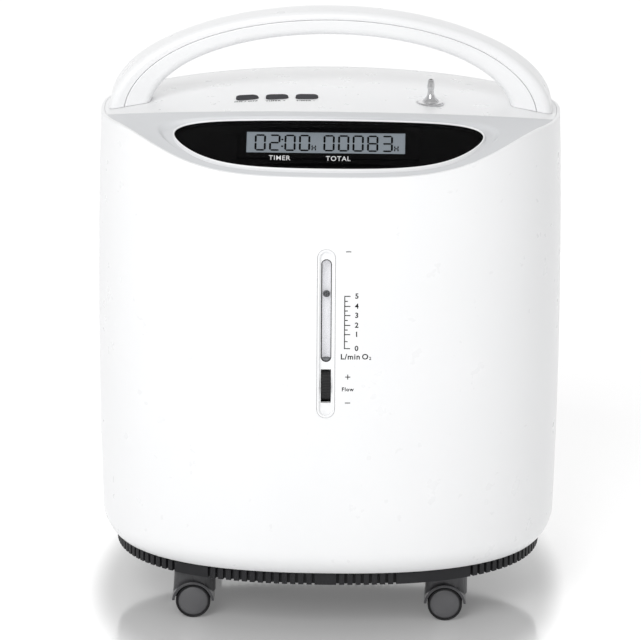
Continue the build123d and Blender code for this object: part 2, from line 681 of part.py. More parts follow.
def breaker_body():
    """Push-to-reset circuit breaker: body inside, threaded collar and ring outside."""
    x, z = BREAKER_X, SERVICE_CENTRE_Z
    part = block(x - 8, x + 8, SERVICE_Y - 34, SERVICE_Y - 3.4, z - 12, z + 12)
    part += rod(6.0, (x, SERVICE_Y - 4, z), (x, SERVICE_Y + 3, z))
    part += pipe(9.0, 5.0, (x, SERVICE_Y + 0.1, z), (x, SERVICE_Y + 2.6, z))
    return part - rod(4.3, (x, SERVICE_Y - 8, z), (x, SERVICE_Y + 9, z))


def breaker_button():
    x, z = BREAKER_X, SERVICE_CENTRE_Z
    cap = rod(4.0, (x, SERVICE_Y - 5.5, z), (x, SERVICE_Y + 6.0, z))
    return fillet(cap.faces().sort_by(Axis.Y)[-1].edges(), 0.8)


def screw(x, y, z, length):
    """Pan-head screw driven upwards; z is the underside of its head."""
    part = rod(3.4, (x, y, z - 2.2), (x, y, z)) + rod(SCREW_R, (x, y, z), (x, y, z + length))
    return part - rod(1.2, (x, y, z - 2.3), (x, y, z - 1.0))


def screws():
    """Two screws up into the control board, four up through the base into the case."""
    parts = [screw(x, y, BOARD_Z - 0.1, 9) for x, y in BOARD_SCREWS]
    parts += [screw(x, y, FLOOR_Z[0] - 0.1, 22) for x, y in CASE_SCREWS]
    return group(*parts)


# ---------------------------------------------------------------- inside
def inner_frame():
    """Moulded frame: a fan deck on four legs, standing on the base tray."""
    part = block(-72, 106, -86, 100, 236, 240)
    part -= rod(FAN_SIZE / 2 - 3, (FAN_X, FAN_Y, 230), (FAN_X, FAN_Y, 250))
    for x in (-70, 84):
        for y in (-84, 92):
            part += block(x, x + 6, y, y + 8, FLOOR_Z[1] + 0.1, 237)
    return part


def compressor_body():
    """Twin-cylinder oil-free compressor: motor shell, end crankcases and cylinders."""
    x, y, z = COMPRESSOR_X, COMPRESSOR_Y, COMPRESSOR_Z
    part = rod(MOTOR_R, (x - 42, y, z), (x + 42, y, z))
    part += rod(40, (x - 78, y, z), (x + 78, y, z))
    for side in (-1, 1):
        cylinder_x = x + side * 60
        part += rod(24, (cylinder_x, y, z), (cylinder_x, y, z + 64))
        for i in range(3):
            part += rod(29, (cylinder_x, y, z + 46 + 6 * i), (cylinder_x, y, z + 48.5 + 6 * i))
        foot_x = x + side * 30
        part += block(foot_x - 9, foot_x + 9, y - 46, y + 46, z - 56, z - 44)
    part -= rod(MOTOR_R - 4, (x - 36, y, z), (x + 36, y, z))
    part -= rod(6.05, (x - 90, y, z), (x + 90, y, z))
    for side in (-1, 1):
        part -= rod(35, (x + side * 43, y, z), (x + side * 90, y, z))
        part -= rod(20, (x + side * 60, y, z), (x + side * 60, y, z + 65))
    return part


def pistons():
    """Pistons at the top of their stroke, each with the upper part of its rod."""
    x, y, z = COMPRESSOR_X, COMPRESSOR_Y, COMPRESSOR_Z
    parts = []
    for side in (-1, 1):
        cylinder_x = x + side * 60
        piston = rod(19.8, (cylinder_x, y, z + 52), (cylinder_x, y, z + 60))
        piston += block(cylinder_x - 3, cylinder_x + 3, y - 6, y + 6, z + 22, z + 53)
        parts.append(piston)
    return group(*parts)


def motor_stator():
    x, y, z = COMPRESSOR_X, COMPRESSOR_Y, COMPRESSOR_Z
    part = rod(MOTOR_R - 4.1, (x - 24, y, z), (x + 24, y, z))
    part += pipe(40, 30, (x - 34, y, z), (x + 34, y, z))
    return part - rod(28, (x - 40, y, z), (x + 40, y, z))


def compressor_rotor():
    """Shaft with the rotor core, the two eccentrics and the end fans."""
    x, y, z = COMPRESSOR_X, COMPRESSOR_Y, COMPRESSOR_Z
    part = rod(6.0, (x - 84, y, z), (x + 84, y, z))
    part += rod(27, (x - 24, y, z), (x + 24, y, z))
    for side in (-1, 1):
        part += rod(11, (x + side * 56, y, z + 3), (x + side * 64, y, z + 3))
        hub_x = x + side * 80
        part += rod(10, (hub_x - 4, y, z), (hub_x + 4, y, z))
        for i in range(6):
            blade = Pos(0, 20, 0) * Box(6, 22, 1.6)
            part += Pos(hub_x, y, z) * Rot(60 * i, 0, 0) * blade
    return part


def cylinder_heads():
    heads = []
    for side in (-1, 1):
        x = COMPRESSOR_X + side * 60
        z = COMPRESSOR_Z + 64.1
        head = block(x - 30, x + 30, COMPRESSOR_Y - 30, COMPRESSOR_Y + 30, z, z + 9)
        for i in range(7):
            fin_y = COMPRESSOR_Y - 27 + 9 * i
            head += block(x - 30, x + 30, fin_y - 1, fin_y + 1, z + 8, z + 18)
        heads.append(head)
    return group(*heads)


def rubber_mounts():
    """Four rubber feet between the compressor and the base tray."""
    feet = []
    low = FLOOR_Z[1] + 0.1
    high = COMPRESSOR_Z - 56.1
    for sx in (-1, 1):
        for sy in (-1, 1):
            x = COMPRESSOR_X + sx * 30
            y = COMPRESSOR_Y + sy * 39
            foot = rod(8, (x, y, low), (x, y, high))
            waist_ring = pipe(12, 6.5, (x, y, low + 6), (x, y, low + 10))
            feet.append(foot - waist_ring)
    return group(*feet)


def fan_frame():
    """Axial fan housing on the deck."""
    half = FAN_SIZE / 2
    z0 = 240.2
    z1 = z0 + 38
    part = block(FAN_X - half, FAN_X + half, FAN_Y - half, FAN_Y + half, z0, z1)
    part -= rod(half - 2.5, (FAN_X, FAN_Y, z0 - 1), (FAN_X, FAN_Y, z1 + 1))
    hub = rod(20, (FAN_X, FAN_Y, z0), (FAN_X, FAN_Y, z0 + 8))
    part += hub
    for i in range(3):
        arm = Pos(FAN_X, FAN_Y, z0 + 3) * Rot(0, 0, 120 * i + 30) * Pos(38, 0, 0) * Box(42, 5, 6)
        part += arm
    return part - rod(3.05, (FAN_X, FAN_Y, z0 - 1), (FAN_X, FAN_Y, z0 + 9))


def fan_rotor():
    """Fan hub, seven blades and the shaft that turns in the frame's hub."""
    z0 = 240.2
    part = rod(19, (FAN_X, FAN_Y, z0 + 9), (FAN_X, FAN_Y, z0 + 34))
    part += rod(3.0, (FAN_X, FAN_Y, z0 + 2), (FAN_X, FAN_Y, z0 + 10))
    for i in range(7):
        blade = Pos(36, 0, 0) * Rot(35, 0, 0) * Box(37, 26, 1.8)
        part += Pos(FAN_X, FAN_Y, z0 + 22) * Rot(0, 0, 360 / 7 * i) * blade
    return part & rod(FAN_SIZE / 2 - 4, (FAN_X, FAN_Y, z0), (FAN_X, FAN_Y, z0 + 40))


def sieve_beds():
    """Two zeolite canisters with crimped end caps."""
    beds = []
    for y in BED_YS:
        bed = rod(BED_R, (BED_X, y, FLOOR_Z[1] + 0.1), (BED_X, y, 318))
        for z in (66, 306):
            bed -= pipe(BED_R + 3, BED_R - 1.2, (BED_X, y, z), (BED_X, y, z + 4))
        bed += rod(5, (BED_X, y, 318), (BED_X, y, 326))
        beds.append(bed)
    return group(*beds)


def valve_block():
    """Manifold across the two beds with four solenoid valves on it."""
    y0, y1 = BED_YS[0] - 26, BED_YS[1] + 26
    manifold = block(BED_X - 20, BED_X + 20, y0, y1, 326.1, 346)
    for y in BED_YS:
        manifold += rod(4, (BED_X + 19, y, 336), (BED_X + 32, y, 336))
    parts = [manifold]
    for i in range(4):
        y = y0 + 13 + (y1 - y0 - 26) * i / 3
        valve = block(BED_X - 12, BED_X + 12, y - 11, y + 11, 346.1, 376)
        parts.append(valve + rod(6, (BED_X, y, 375), (BED_X, y, 384)))
    return group(*parts)


def product_tank():
    tank = rod(TANK_R, (TANK_X, TANK_Y, FLOOR_Z[1] + 0.1), (TANK_X, TANK_Y, 250))
    tank = fillet(tank.edges().sort_by(Axis.Z)[-1], 10)
    return tank + rod(4, (TANK_X, TANK_Y, 245), (TANK_X, TANK_Y, 262))


def bacteria_filter():
    """Disc filter in the oxygen line."""
    x, y, z = 62.0, -62.0, 340.0
    part = rod(22, (x, y, z), (x, y, z + 8)) + rod(16, (x, y, z - 8), (x, y, z + 16))
    return part + rod(3, (x, y, z - 22), (x, y, z + 30))


def intake_silencer():
    """Intake filter canister behind the air inlet."""
    y = 76.0
    part = rod(30, (70, y, 300), (70, y, 370)) + rod(32, (70, y, 366), (70, y, 376))
    return part + rod(7, (70, y, 285), (70, y, 301))


def cooling_coil():
    """Serpentine of metal tube over the fan that cools the compressed air."""
    z, half_x, pitch, runs = 296.0, 64.0, 20.0, 5
    points = []
    for i in range(runs):
        y = FAN_Y - pitch * (runs - 1) / 2 + pitch * i
        ends = (FAN_X - half_x, FAN_X + half_x) if i % 2 == 0 else (FAN_X + half_x, FAN_X - half_x)
        points += [(end, y, z) for end in ends]
    bends = FilletPolyline(*points, radius=9.5)
    profile = Plane(origin=bends @ 0, z_dir=bends % 0) * Circle(4)
    return sweep(profile, path=bends)


def power_board():
    """Upright circuit board on the right with its transformer and heat sink."""
    part = block(150, 151.6, -52, 4, 210, 330)
    part += block(118, 150, -46, -12, 216, 250)
    part += block(132, 150, -8, 2, 214, 300)
    for i in range(3):
        part += rod(6, (138, -30, 262 + 22 * i), (150.2, -30, 262 + 22 * i))
    return part


def run_capacitor():
    x, y = CAPACITOR_X, CAPACITOR_Y
    can = rod(19, (x, y, FLOOR_Z[1] + 0.1), (x, y, 130))
    for dx in (-6, 6):
        can += block(x + dx - 0.5, x + dx + 0.5, y - 3, y + 3, 129, 138)
    return can


def hose(points, bend, radius=4.0, bore=2.5):
    route = FilletPolyline(*points, radius=bend)
    plane = Plane(origin=route @ 0, z_dir=route % 0)
    return sweep(plane * Circle(radius), path=route) - sweep(plane * Circle(bore), path=route)


def inner_hoses():
    """Silicone lines from the outlet to the bacteria filter and on to the flow valve."""
    outlet_low = outlet_base() - 14.2
    first = hose([(OUTLET_X, OUTLET_Y, outlet_low), (OUTLET_X, OUTLET_Y, 395),
                  (62, -62, 395), (62, -62, 370.3)], 9)
    second = hose([(62, -62, 317.7), (62, -62, 285), (17, -126, 285), (17, -126.2, 249)], 9, 4.0, 2.6)
    return group(first, second)


# ---------------------------------------------------------------- export
def all_parts():
    shell = case_shell()
    upper, lower = handle_shells()
    parts = {
        "front_case": front_case(shell),
        "rear_case": rear_case(shell),
        "top_cover": top_cover(),
        "handle_upper": upper,
        "handle_lower": lower,
        "display_bezel": display_bezel(),
        "display_lens": display_lens(),
        "display_mask": display_mask(),
        "display_tray": display_tray(),
        "lcd_panel": lcd_panel(),
        "control_board": control_board(),
        "screws": screws(),
        "oxygen_outlet": oxygen_outlet(),
        "outlet_nut": outlet_nut(),
        "pistons": pistons(),
        "flow_bezel": flow_bezel(),
        "flow_tube": flow_tube(),
        "flow_float": flow_float(),
        "flow_tube_caps": flow_tube_caps(),
        "flow_wheel": flow_wheel(),
        "flow_valve": flow_valve(),
        "base_tray": base_tray(),
        "caster_stems": caster_stems(),
        "filter_cover": filter_cover(),
        "filter_foam": filter_foam(),
        "power_inlet": power_inlet(),
        "breaker_body": breaker_body(),
        "breaker_button": breaker_button(),
        "inner_frame": inner_frame(),
        "compressor_body": compressor_body(),
        "motor_stator": motor_stator(),
        "compressor_rotor": compressor_rotor(),
        "cylinder_heads": cylinder_heads(),
        "rubber_mounts": rubber_mounts(),
        "fan_frame": fan_frame(),
        "fan_rotor": fan_rotor(),
        "sieve_beds": sieve_beds(),
        "valve_block": valve_block(),
        "product_tank": product_tank(),
        "bacteria_filter": bacteria_filter(),
        "intake_silencer": intake_silencer(),
        "cooling_coil": cooling_coil(),
        "power_board": power_board(),
        "run_capacitor": run_capacitor(),
        "inner_hoses": inner_hoses(),
    }
    for name, x, y, turn in BUTTONS:
        parts[name] = button(x, y, turn)
    for name, sx, sy in CASTERS:
        parts["caster_hood_" + name] = caster_hood(sx, sy)
        parts["caster_axle_" + name] = caster_axle(sx, sy)
        parts["caster_wheels_" + name] = caster_wheels(sx, sy)
    return parts


os.makedirs("parts", exist_ok=True)
for node, shape in all_parts().items():
    export_step(shape, "parts/" + node + ".step")
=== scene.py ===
import json
import math

import bmesh
import bpy
from mathutils import Matrix, Vector


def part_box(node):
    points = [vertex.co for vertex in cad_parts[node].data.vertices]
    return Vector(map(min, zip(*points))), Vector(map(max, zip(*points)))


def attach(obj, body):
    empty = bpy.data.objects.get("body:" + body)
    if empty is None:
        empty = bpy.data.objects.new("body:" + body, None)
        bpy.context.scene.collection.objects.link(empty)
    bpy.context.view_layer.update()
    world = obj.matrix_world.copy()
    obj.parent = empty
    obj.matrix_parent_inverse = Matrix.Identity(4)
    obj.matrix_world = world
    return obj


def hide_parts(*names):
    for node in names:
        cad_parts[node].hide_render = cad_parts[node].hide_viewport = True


# Looks of a home oxygen concentrator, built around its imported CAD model. Metres throughout.
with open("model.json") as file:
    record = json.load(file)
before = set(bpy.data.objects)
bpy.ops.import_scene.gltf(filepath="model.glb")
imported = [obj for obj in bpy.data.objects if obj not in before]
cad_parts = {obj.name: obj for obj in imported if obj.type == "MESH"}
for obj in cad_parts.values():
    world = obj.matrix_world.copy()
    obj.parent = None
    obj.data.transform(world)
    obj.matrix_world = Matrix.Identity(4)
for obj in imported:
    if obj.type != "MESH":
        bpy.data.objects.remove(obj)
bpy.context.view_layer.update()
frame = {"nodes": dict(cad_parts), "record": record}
nodes = frame["nodes"]

MM = 0.001
ROOT = "casing"


# ---------------------------------------------------------------- small helpers
def lowest(node):
    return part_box(node)[0]


def highest(node):
    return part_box(node)[1]


def middle(node):
    low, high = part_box(node)
    return (low + high) / 2


def new_object(name, mesh, body, material, replaced=()):
    """Puts a mesh in the scene as a piece that rides on a body."""
    piece = bpy.data.objects.new(name, mesh)
    bpy.context.scene.collection.objects.link(piece)
    mesh.materials.clear()
    mesh.materials.append(material)
    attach(piece, body)
    if replaced:
        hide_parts(*replaced)
    return piece


def mesh_from(name, vertices, faces, smooth=True):
    mesh = bpy.data.meshes.new(name)
    mesh.from_pydata([tuple(v) for v in vertices], [], faces)
    mesh.validate()
    mesh.polygons.foreach_set("use_smooth", [smooth] * len(mesh.polygons))
    mesh.update()
    return mesh


def tube_along(points, radius, sides=10, closed=False):
    """Vertices and faces of a round bead along a line of points."""
    count = len(points)
    vertices, faces = [], []
    for i, point in enumerate(points):
        before = points[(i - 1) % count] if closed or i > 0 else point
        after = points[(i + 1) % count] if closed or i < count - 1 else point
        along = (after - before).normalized()
        side = along.cross(Vector((0, 0, 1)))
        side = side.normalized() if side.length > 1e-6 else Vector((1, 0, 0))
        lift = side.cross(along).normalized()
        for k in range(sides):
            turn = 2 * math.pi * k / sides
            vertices.append(point + (side * math.cos(turn) + lift * math.sin(turn)) * radius)
    rings = count if closed else count - 1
    for i in range(rings):
        for k in range(sides):
            a = i * sides + k
            b = i * sides + (k + 1) % sides
            c = ((i + 1) % count) * sides + (k + 1) % sides
            d = ((i + 1) % count) * sides + k
            faces.append((a, b, c, d))
    if not closed:
        faces.append(tuple(range(sides - 1, -1, -1)))
        faces.append(tuple(range((count - 1) * sides, count * sides)))
    return vertices, faces


# ---------------------------------------------------------------- the case's form, as in the CAD
WIDTH, DEPTH, WIDE_Y = 0.400, 0.285, 0.0125
OVAL_POWER = 2.4
BARREL, BARREL_MID_Z, BARREL_HALF_SPAN = 0.0026, 0.265, 0.170
WALL, GAP = 0.003, 0.0003
DOME_TOP_Z, DOME_Y, DOME_R = 0.450, -0.060, 1.200
DIP_Z, DIP_END_X, DIP_POWER = 0.4125, 0.178, 2.57
FASCIA_HALF = 0.190
LENS_HALF, LENS_POWER, LENS_MID, LENS_TIP_RISE, LENS_HALF_SHARE = 0.131, 6.7, 0.54, 0.02, 0.335
PANEL_TILT = math.radians(36)


def power(value, exponent):
    return math.copysign(abs(value) ** exponent, value)


def wall_point(angle, inset, z):
    """A point of the case's plan outline at height z, as (x, y)."""
    shrink = inset + BARREL * ((z - BARREL_MID_Z) / BARREL_HALF_SPAN) ** 2
    reach = DEPTH / 2 - shrink - math.copysign(WIDE_Y, math.sin(angle))
    x = (WIDTH / 2 - shrink) * power(math.cos(angle), 2 / OVAL_POWER)
    return x, WIDE_Y + reach * power(math.sin(angle), 2 / OVAL_POWER)


def front_wall_y(x, inset, z):
    shrink = inset + BARREL * ((z - BARREL_MID_Z) / BARREL_HALF_SPAN) ** 2
    share = min(1.0, abs(x) / (WIDTH / 2 - shrink))
    return WIDE_Y - (DEPTH / 2 + WIDE_Y - shrink) * (1 - share ** OVAL_POWER) ** (1 / OVAL_POWER)


def dome_z(x, y):
    return DOME_TOP_Z - DOME_R + math.sqrt(DOME_R ** 2 - x ** 2 - (y - DOME_Y) ** 2)


def cover_edge_y(x):
    return -0.068 + 0.025 * (x / 0.152) ** 2


def dip_z(x):
    share = min(1.0, (abs(x) / DIP_END_X) ** DIP_POWER)
    top = dome_z(DIP_END_X, front_wall_y(DIP_END_X, 0, 0.430))
    return DIP_Z + (top - DIP_Z) * share * share * (3 - 2 * share)


def bezier(b, c, u):
    """Bezier from 0 to 1 with inner values b and c."""
    v = 1 - u
    return 3 * b * v * v * u + 3 * c * v * u * u + u ** 3


def fascia_point(x, share, sink=0.0):
    """A point on the fascia, share of the way from the cover's edge to the case's edge."""
    crown = 1 - (x / 0.190) ** 2
    low, high = 0.0, 1.0
    for _ in range(24):
        u = (low + high) / 2
        if bezier(0.333 + 0.027 * crown, 0.667 + 0.033 * crown, u) < share:
            low = u
        else:
            high = u
    y0 = cover_edge_y(x)
    y1 = front_wall_y(x, WALL + GAP, 0.425)
    z0 = dome_z(x, y0)
    z1 = min(dip_z(x), dome_z(x, y1))
    drop = bezier(0.333 * (1 - crown), 0.667 + 0.053 * crown, u)
    return Vector((x, y0 + (y1 - y0) * share, z0 + (z1 - z0) * drop - sink))


def leaf_outline(angle, grow_x, grow_y):
    """The lens's leaf outline grown outwards, as (x, share)."""
    along = math.cos(angle)
    x = (LENS_HALF + grow_x) * along
    across = cover_edge_y(x) - front_wall_y(x, WALL + GAP, 0.425)
    centre = LENS_MID - LENS_TIP_RISE * (x / LENS_HALF) ** 2
    fullness = math.copysign(math.sqrt(1 - abs(along) ** LENS_POWER), math.sin(angle))
    return x, centre + (LENS_HALF_SHARE + grow_y / across) * fullness


def smooth_step(t):
    t = max(0.0, min(1.0, t))
    return t * t * (3 - 2 * t)


def rings_to_faces(rings, count):
    """Quads between rings of count points each, wound so that they face outwards."""
    faces = []
    for i in range(rings - 1):
        for k in range(count):
            a = i * count + k
            b = i * count + (k + 1) % count
            faces.append((a, a + count, b + count, b))
    return faces


# ---------------------------------------------------------------- materials
def material(name):
    made = bpy.data.materials.new(name)
    made.use_nodes = True
    tree = made.node_tree
    return made, tree, tree.nodes["Principled BSDF"]


def node(tree, kind, **inputs):
    added = tree.nodes.new(kind)
    for key, value in inputs.items():
        added.inputs[key.replace("_", " ")].default_value = value
    return added


def noise(tree, scale, detail=2.0):
    """Object-space noise in metres."""
    place = tree.nodes.new("ShaderNodeTexCoord")
    texture = node(tree, "ShaderNodeTexNoise", Scale=scale, Detail=detail)
    tree.links.new(place.outputs["Object"], texture.inputs["Vector"])
    return texture.outputs["Fac"]


def ramp(tree, source, low, high, start=0.35, end=0.65):
    """Colour ramp between two RGB colours, driven by source."""
    added = tree.nodes.new("ShaderNodeValToRGB")
    added.color_ramp.elements[0].position = start
    added.color_ramp.elements[0].color = (*low, 1)
    added.color_ramp.elements[1].position = end
    added.color_ramp.elements[1].color = (*high, 1)
    tree.links.new(source, added.inputs["Fac"])
    return added.outputs["Color"]


def spread(tree, source, low, high):
    """Maps noise onto a range of numbers."""
    added = tree.nodes.new("ShaderNodeMapRange")
    added.inputs["From Min"].default_value = 0.3
    added.inputs["From Max"].default_value = 0.7
    added.inputs["To Min"].default_value = low
    added.inputs["To Max"].default_value = high
    tree.links.new(source, added.inputs["Value"])
    return added.outputs["Result"]


def grain(tree, shader, height, strength, distance):
    """Bump from a noise or pattern."""
    bump = node(tree, "ShaderNodeBump", Strength=strength, Distance=distance)
    tree.links.new(height, bump.inputs["Height"])
    tree.links.new(bump.outputs["Normal"], shader.inputs["Normal"])


def moulded(name, low, high, rough, grain_scale, grain_depth, coat=0.0, metal=0.0, grain_strength=0.25,
            specular=0.5):
    """Moulded or cast surface: slight colour drift, uneven gloss and a fine surface texture."""
    made, tree, shader = material(name)
    drift = noise(tree, 9.0, 3.0)
    tree.links.new(ramp(tree, drift, low, high), shader.inputs["Base Color"])
    uneven = noise(tree, 60.0, 4.0)
    tree.links.new(spread(tree, uneven, rough[0], rough[1]), shader.inputs["Roughness"])
    shader.inputs["Metallic"].default_value = metal
    shader.inputs["Coat Weight"].default_value = coat
    shader.inputs["Coat Roughness"].default_value = 0.12
    shader.inputs["Specular IOR Level"].default_value = specular
    grain(tree, shader, noise(tree, grain_scale, 2.0), grain_strength, grain_depth)
    return made


def clear_plastic(name, colour, alpha, rough, specular=0.5):
    made, tree, shader = material(name)
    shader.inputs["Specular IOR Level"].default_value = specular
    drift = noise(tree, 30.0)
    tint = tuple(c * 0.94 for c in colour)
    tree.links.new(ramp(tree, drift, tint, colour), shader.inputs["Base Color"])
    tree.links.new(spread(tree, noise(tree, 120.0), rough, rough * 1.8), shader.inputs["Roughness"])
    shader.inputs["Alpha"].default_value = alpha
    return made


def display_glass():
    """The liquid crystal panel: grey-green, with a painted glow that brightens it behind the smoked lens, and with
    its fine cell structure.
    """
    made, tree, shader = material("lcd_glass")
    place = tree.nodes.new("ShaderNodeTexCoord")
    cells = node(tree, "ShaderNodeTexVoronoi", Scale=2200.0)
    tree.links.new(place.outputs["Object"], cells.inputs["Vector"])
    colour = ramp(tree, cells.outputs["Distance"], (0.262, 0.300, 0.335), (0.286, 0.324, 0.360))
    tree.links.new(colour, shader.inputs["Base Color"])
    tree.links.new(colour, shader.inputs["Emission Color"])
    # Painted light: this glow makes up for the light the dark lens and the deep recess keep from the panel.
    shader.inputs["Emission Strength"].default_value = 0.25
    tree.links.new(spread(tree, noise(tree, 80.0), 0.30, 0.40), shader.inputs["Roughness"])
    return made


def brushed(name, low, high, rough, stretch=(4.0, 4.0, 400.0)):
    """Turned or drawn metal with fine lines."""
    made, tree, shader = material(name)
    place = tree.nodes.new("ShaderNodeTexCoord")
    scale = tree.nodes.new("ShaderNodeMapping")
    scale.inputs["Scale"].default_value = stretch
    tree.links.new(place.outputs["Object"], scale.inputs["Vector"])
    lines = node(tree, "ShaderNodeTexNoise", Scale=4.0, Detail=3.0)
    tree.links.new(scale.outputs["Vector"], lines.inputs["Vector"])
    tree.links.new(ramp(tree, lines.outputs["Fac"], low, high), shader.inputs["Base Color"])
    tree.links.new(spread(tree, lines.outputs["Fac"], rough[0], rough[1]), shader.inputs["Roughness"])
    shader.inputs["Metallic"].default_value = 1.0
    grain(tree, shader, lines.outputs["Fac"], 0.15, 0.00005)
    return made


def foam(name):
    """Open-cell filter foam."""
    made, tree, shader = material(name)
    place = tree.nodes.new("ShaderNodeTexCoord")
    cells = node(tree, "ShaderNodeTexVoronoi", Scale=700.0)
    tree.links.new(place.outputs["Object"], cells.inputs["Vector"])
    colour = ramp(tree, cells.outputs["Distance"], (0.015, 0.015, 0.017), (0.09, 0.09, 0.095), 0.1, 0.6)
    tree.links.new(colour, shader.inputs["Base Color"])
    shader.inputs["Roughness"].default_value = 0.95
    grain(tree, shader, cells.outputs["Distance"], 0.9, 0.0008)
    return made


def circuit(name):
    """Green solder-masked board with a pattern of tracks."""
    made, tree, shader = material(name)
    place = tree.nodes.new("ShaderNodeTexCoord")
    tracks = node(tree, "ShaderNodeTexBrick", Scale=120.0)
    tracks.inputs["Color1"].default_value = (0.010, 0.120, 0.050, 1)
    tracks.inputs["Color2"].default_value = (0.012, 0.150, 0.062, 1)
    tracks.inputs["Mortar"].default_value = (0.030, 0.240, 0.110, 1)
    tree.links.new(place.outputs["Object"], tracks.inputs["Vector"])
    tree.links.new(tracks.outputs["Color"], shader.inputs["Base Color"])
    tree.links.new(spread(tree, noise(tree, 90.0), 0.28, 0.42), shader.inputs["Roughness"])
    grain(tree, shader, tracks.outputs["Fac"], 0.3, 0.0001)
    return made


def winding(name):
    """Copper windings: fine parallel wires."""
    made, tree, shader = material(name)
    place = tree.nodes.new("ShaderNodeTexCoord")
    wires = node(tree, "ShaderNodeTexWave", Scale=300.0, Distortion=1.5)
    tree.links.new(place.outputs["Object"], wires.inputs["Vector"])
    tree.links.new(ramp(tree, wires.outputs["Fac"], (0.30, 0.12, 0.05), (0.62, 0.28, 0.12)),
                   shader.inputs["Base Color"])
    shader.inputs["Metallic"].default_value = 0.9
    tree.links.new(spread(tree, noise(tree, 200.0), 0.30, 0.45), shader.inputs["Roughness"])
    grain(tree, shader, wires.outputs["Fac"], 0.5, 0.0003)
    return made


def all_materials():
    """One finish for each material slot of the record, by slot name."""
    white = ((0.895, 0.900, 0.908), (0.905, 0.910, 0.917))
    return {
        "white_case": moulded("white_case", *white, (0.27, 0.31), 30.0, 0.00002, grain_strength=0.1),
        "light_grey_fascia": moulded("light_grey_fascia", (0.655, 0.665, 0.680), (0.675, 0.685, 0.700),
                                     (0.34, 0.40), 2600.0, 0.00002, grain_strength=0.1),
        "dark_base": moulded("dark_base", (0.016, 0.016, 0.018), (0.021, 0.021, 0.023),
                              (0.50, 0.62), 1500.0, 0.0001, specular=0.25),
        "smoked_lens": clear_plastic("smoked_lens", (0.003, 0.003, 0.004), 0.12, 0.05, 0.05),
        "black_inner": moulded("black_inner", (0.002, 0.002, 0.002), (0.004, 0.004, 0.004),
                               (0.80, 0.90), 1500.0, 0.00005, specular=0.08),
        "lcd_glass": display_glass(),
        "button_grey": moulded("button_grey", (0.070, 0.070, 0.076), (0.082, 0.082, 0.088),
                               (0.55, 0.62), 1200.0, 0.00002, specular=0.0),
        "chrome": brushed("chrome", (0.60, 0.60, 0.61), (0.74, 0.74, 0.75), (0.08, 0.16)),
        "steel": brushed("steel", (0.42, 0.42, 0.43), (0.55, 0.55, 0.56), (0.25, 0.38)),
        "clear_tube": clear_plastic("clear_tube", (0.85, 0.87, 0.90), 0.06, 0.06),
        "float_black": moulded("float_black", (0.006, 0.006, 0.007), (0.010, 0.010, 0.011),
                               (0.30, 0.40), 1500.0, 0.00001, specular=0.3),
        "wheel_black": moulded("wheel_black", (0.010, 0.010, 0.011), (0.016, 0.016, 0.017),
                               (0.50, 0.60), 1500.0, 0.00005, specular=0.3),
        "caster_plastic": moulded("caster_plastic", (0.060, 0.060, 0.064), (0.072, 0.072, 0.077),
                                  (0.30, 0.40), 1200.0, 0.00004),
        "caster_tread": moulded("caster_tread", (0.105, 0.105, 0.110), (0.120, 0.120, 0.126),
                                (0.34, 0.42), 1200.0, 0.00005),
        "filter_foam": foam("filter_foam"),
        "circuit_board": circuit("circuit_board"),
        "cast_aluminium": moulded("cast_aluminium", (0.50, 0.51, 0.52), (0.60, 0.61, 0.62),
                                  (0.42, 0.58), 700.0, 0.0004, metal=1.0, grain_strength=0.5),
        "bright_aluminium": brushed("bright_aluminium", (0.66, 0.67, 0.68), (0.78, 0.79, 0.80), (0.22, 0.34)),
        "copper_winding": winding("copper_winding"),
        "soft_rubber": moulded("soft_rubber", (0.018, 0.018, 0.018), (0.028, 0.028, 0.028),
                               (0.70, 0.85), 1200.0, 0.0002),
        "silicone_hose": moulded("silicone_hose", (0.66, 0.66, 0.63), (0.74, 0.74, 0.71),
                                 (0.35, 0.45), 900.0, 0.0001),
        "inner_plastic": moulded("inner_plastic", (0.18, 0.19, 0.20), (0.23, 0.24, 0.25),
                                 (0.40, 0.50), 1200.0, 0.0001),
        "capacitor_can": brushed("capacitor_can", (0.55, 0.56, 0.57), (0.68, 0.69, 0.70), (0.28, 0.40)),
    }


def dress_cad_nodes(finishes):
    """Gives every CAD node its slot's finish and smooth shading."""
    for entry in frame["record"]["subparts"]:
        part = nodes[entry["node"]]
        part.data.materials.clear()
        part.data.materials.append(finishes[entry["material_slot"]])
        part.data.polygons.foreach_set("use_smooth", [True] * len(part.data.polygons))


def wall_field(x, y, z):
    """One on the case's outer wall, less inside it."""
    shrink = BARREL * ((z - BARREL_MID_Z) / BARREL_HALF_SPAN) ** 2
    reach = DEPTH / 2 - shrink - math.copysign(WIDE_Y, y - WIDE_Y)
    return (abs(x) / (WIDTH / 2 - shrink)) ** OVAL_POWER + (abs(y - WIDE_Y) / reach) ** OVAL_POWER


def form_normal(point):
    """The case form's own normal at a point of its outer wall or dome, or None elsewhere."""
    x, y, z = point
    near, round_top, step = 0.15 * MM, 0.090, 0.01 * MM
    if abs(z - dome_z(x, y)) < near:
        return Vector((x, y - DOME_Y, z - DOME_TOP_Z + DOME_R)).normalized()
    slope = Vector((wall_field(x + step, y, z) - wall_field(x - step, y, z),
                    wall_field(x, y + step, z) - wall_field(x, y - step, z),
                    wall_field(x, y, z + step) - wall_field(x, y, z - step))) / (2 * step)
    if z > round_top and abs(wall_field(x, y, z) - 1) < near * slope.length:
        return slope.normalized()
    return None


def smooth_skin(name):
    """Shades a shell's outer skin with its form's own normals, so that no facets show."""
    mesh = nodes[name].data
    normals = [Vector(corner.vector) for corner in mesh.corner_normals]
    for face in mesh.polygons:
        for loop in face.loop_indices:
            exact = form_normal(mesh.vertices[mesh.loops[loop].vertex_index].co)
            if exact is not None and exact.dot(face.normal) > 0.85:
                normals[loop] = exact
    mesh.normals_split_custom_set(normals)


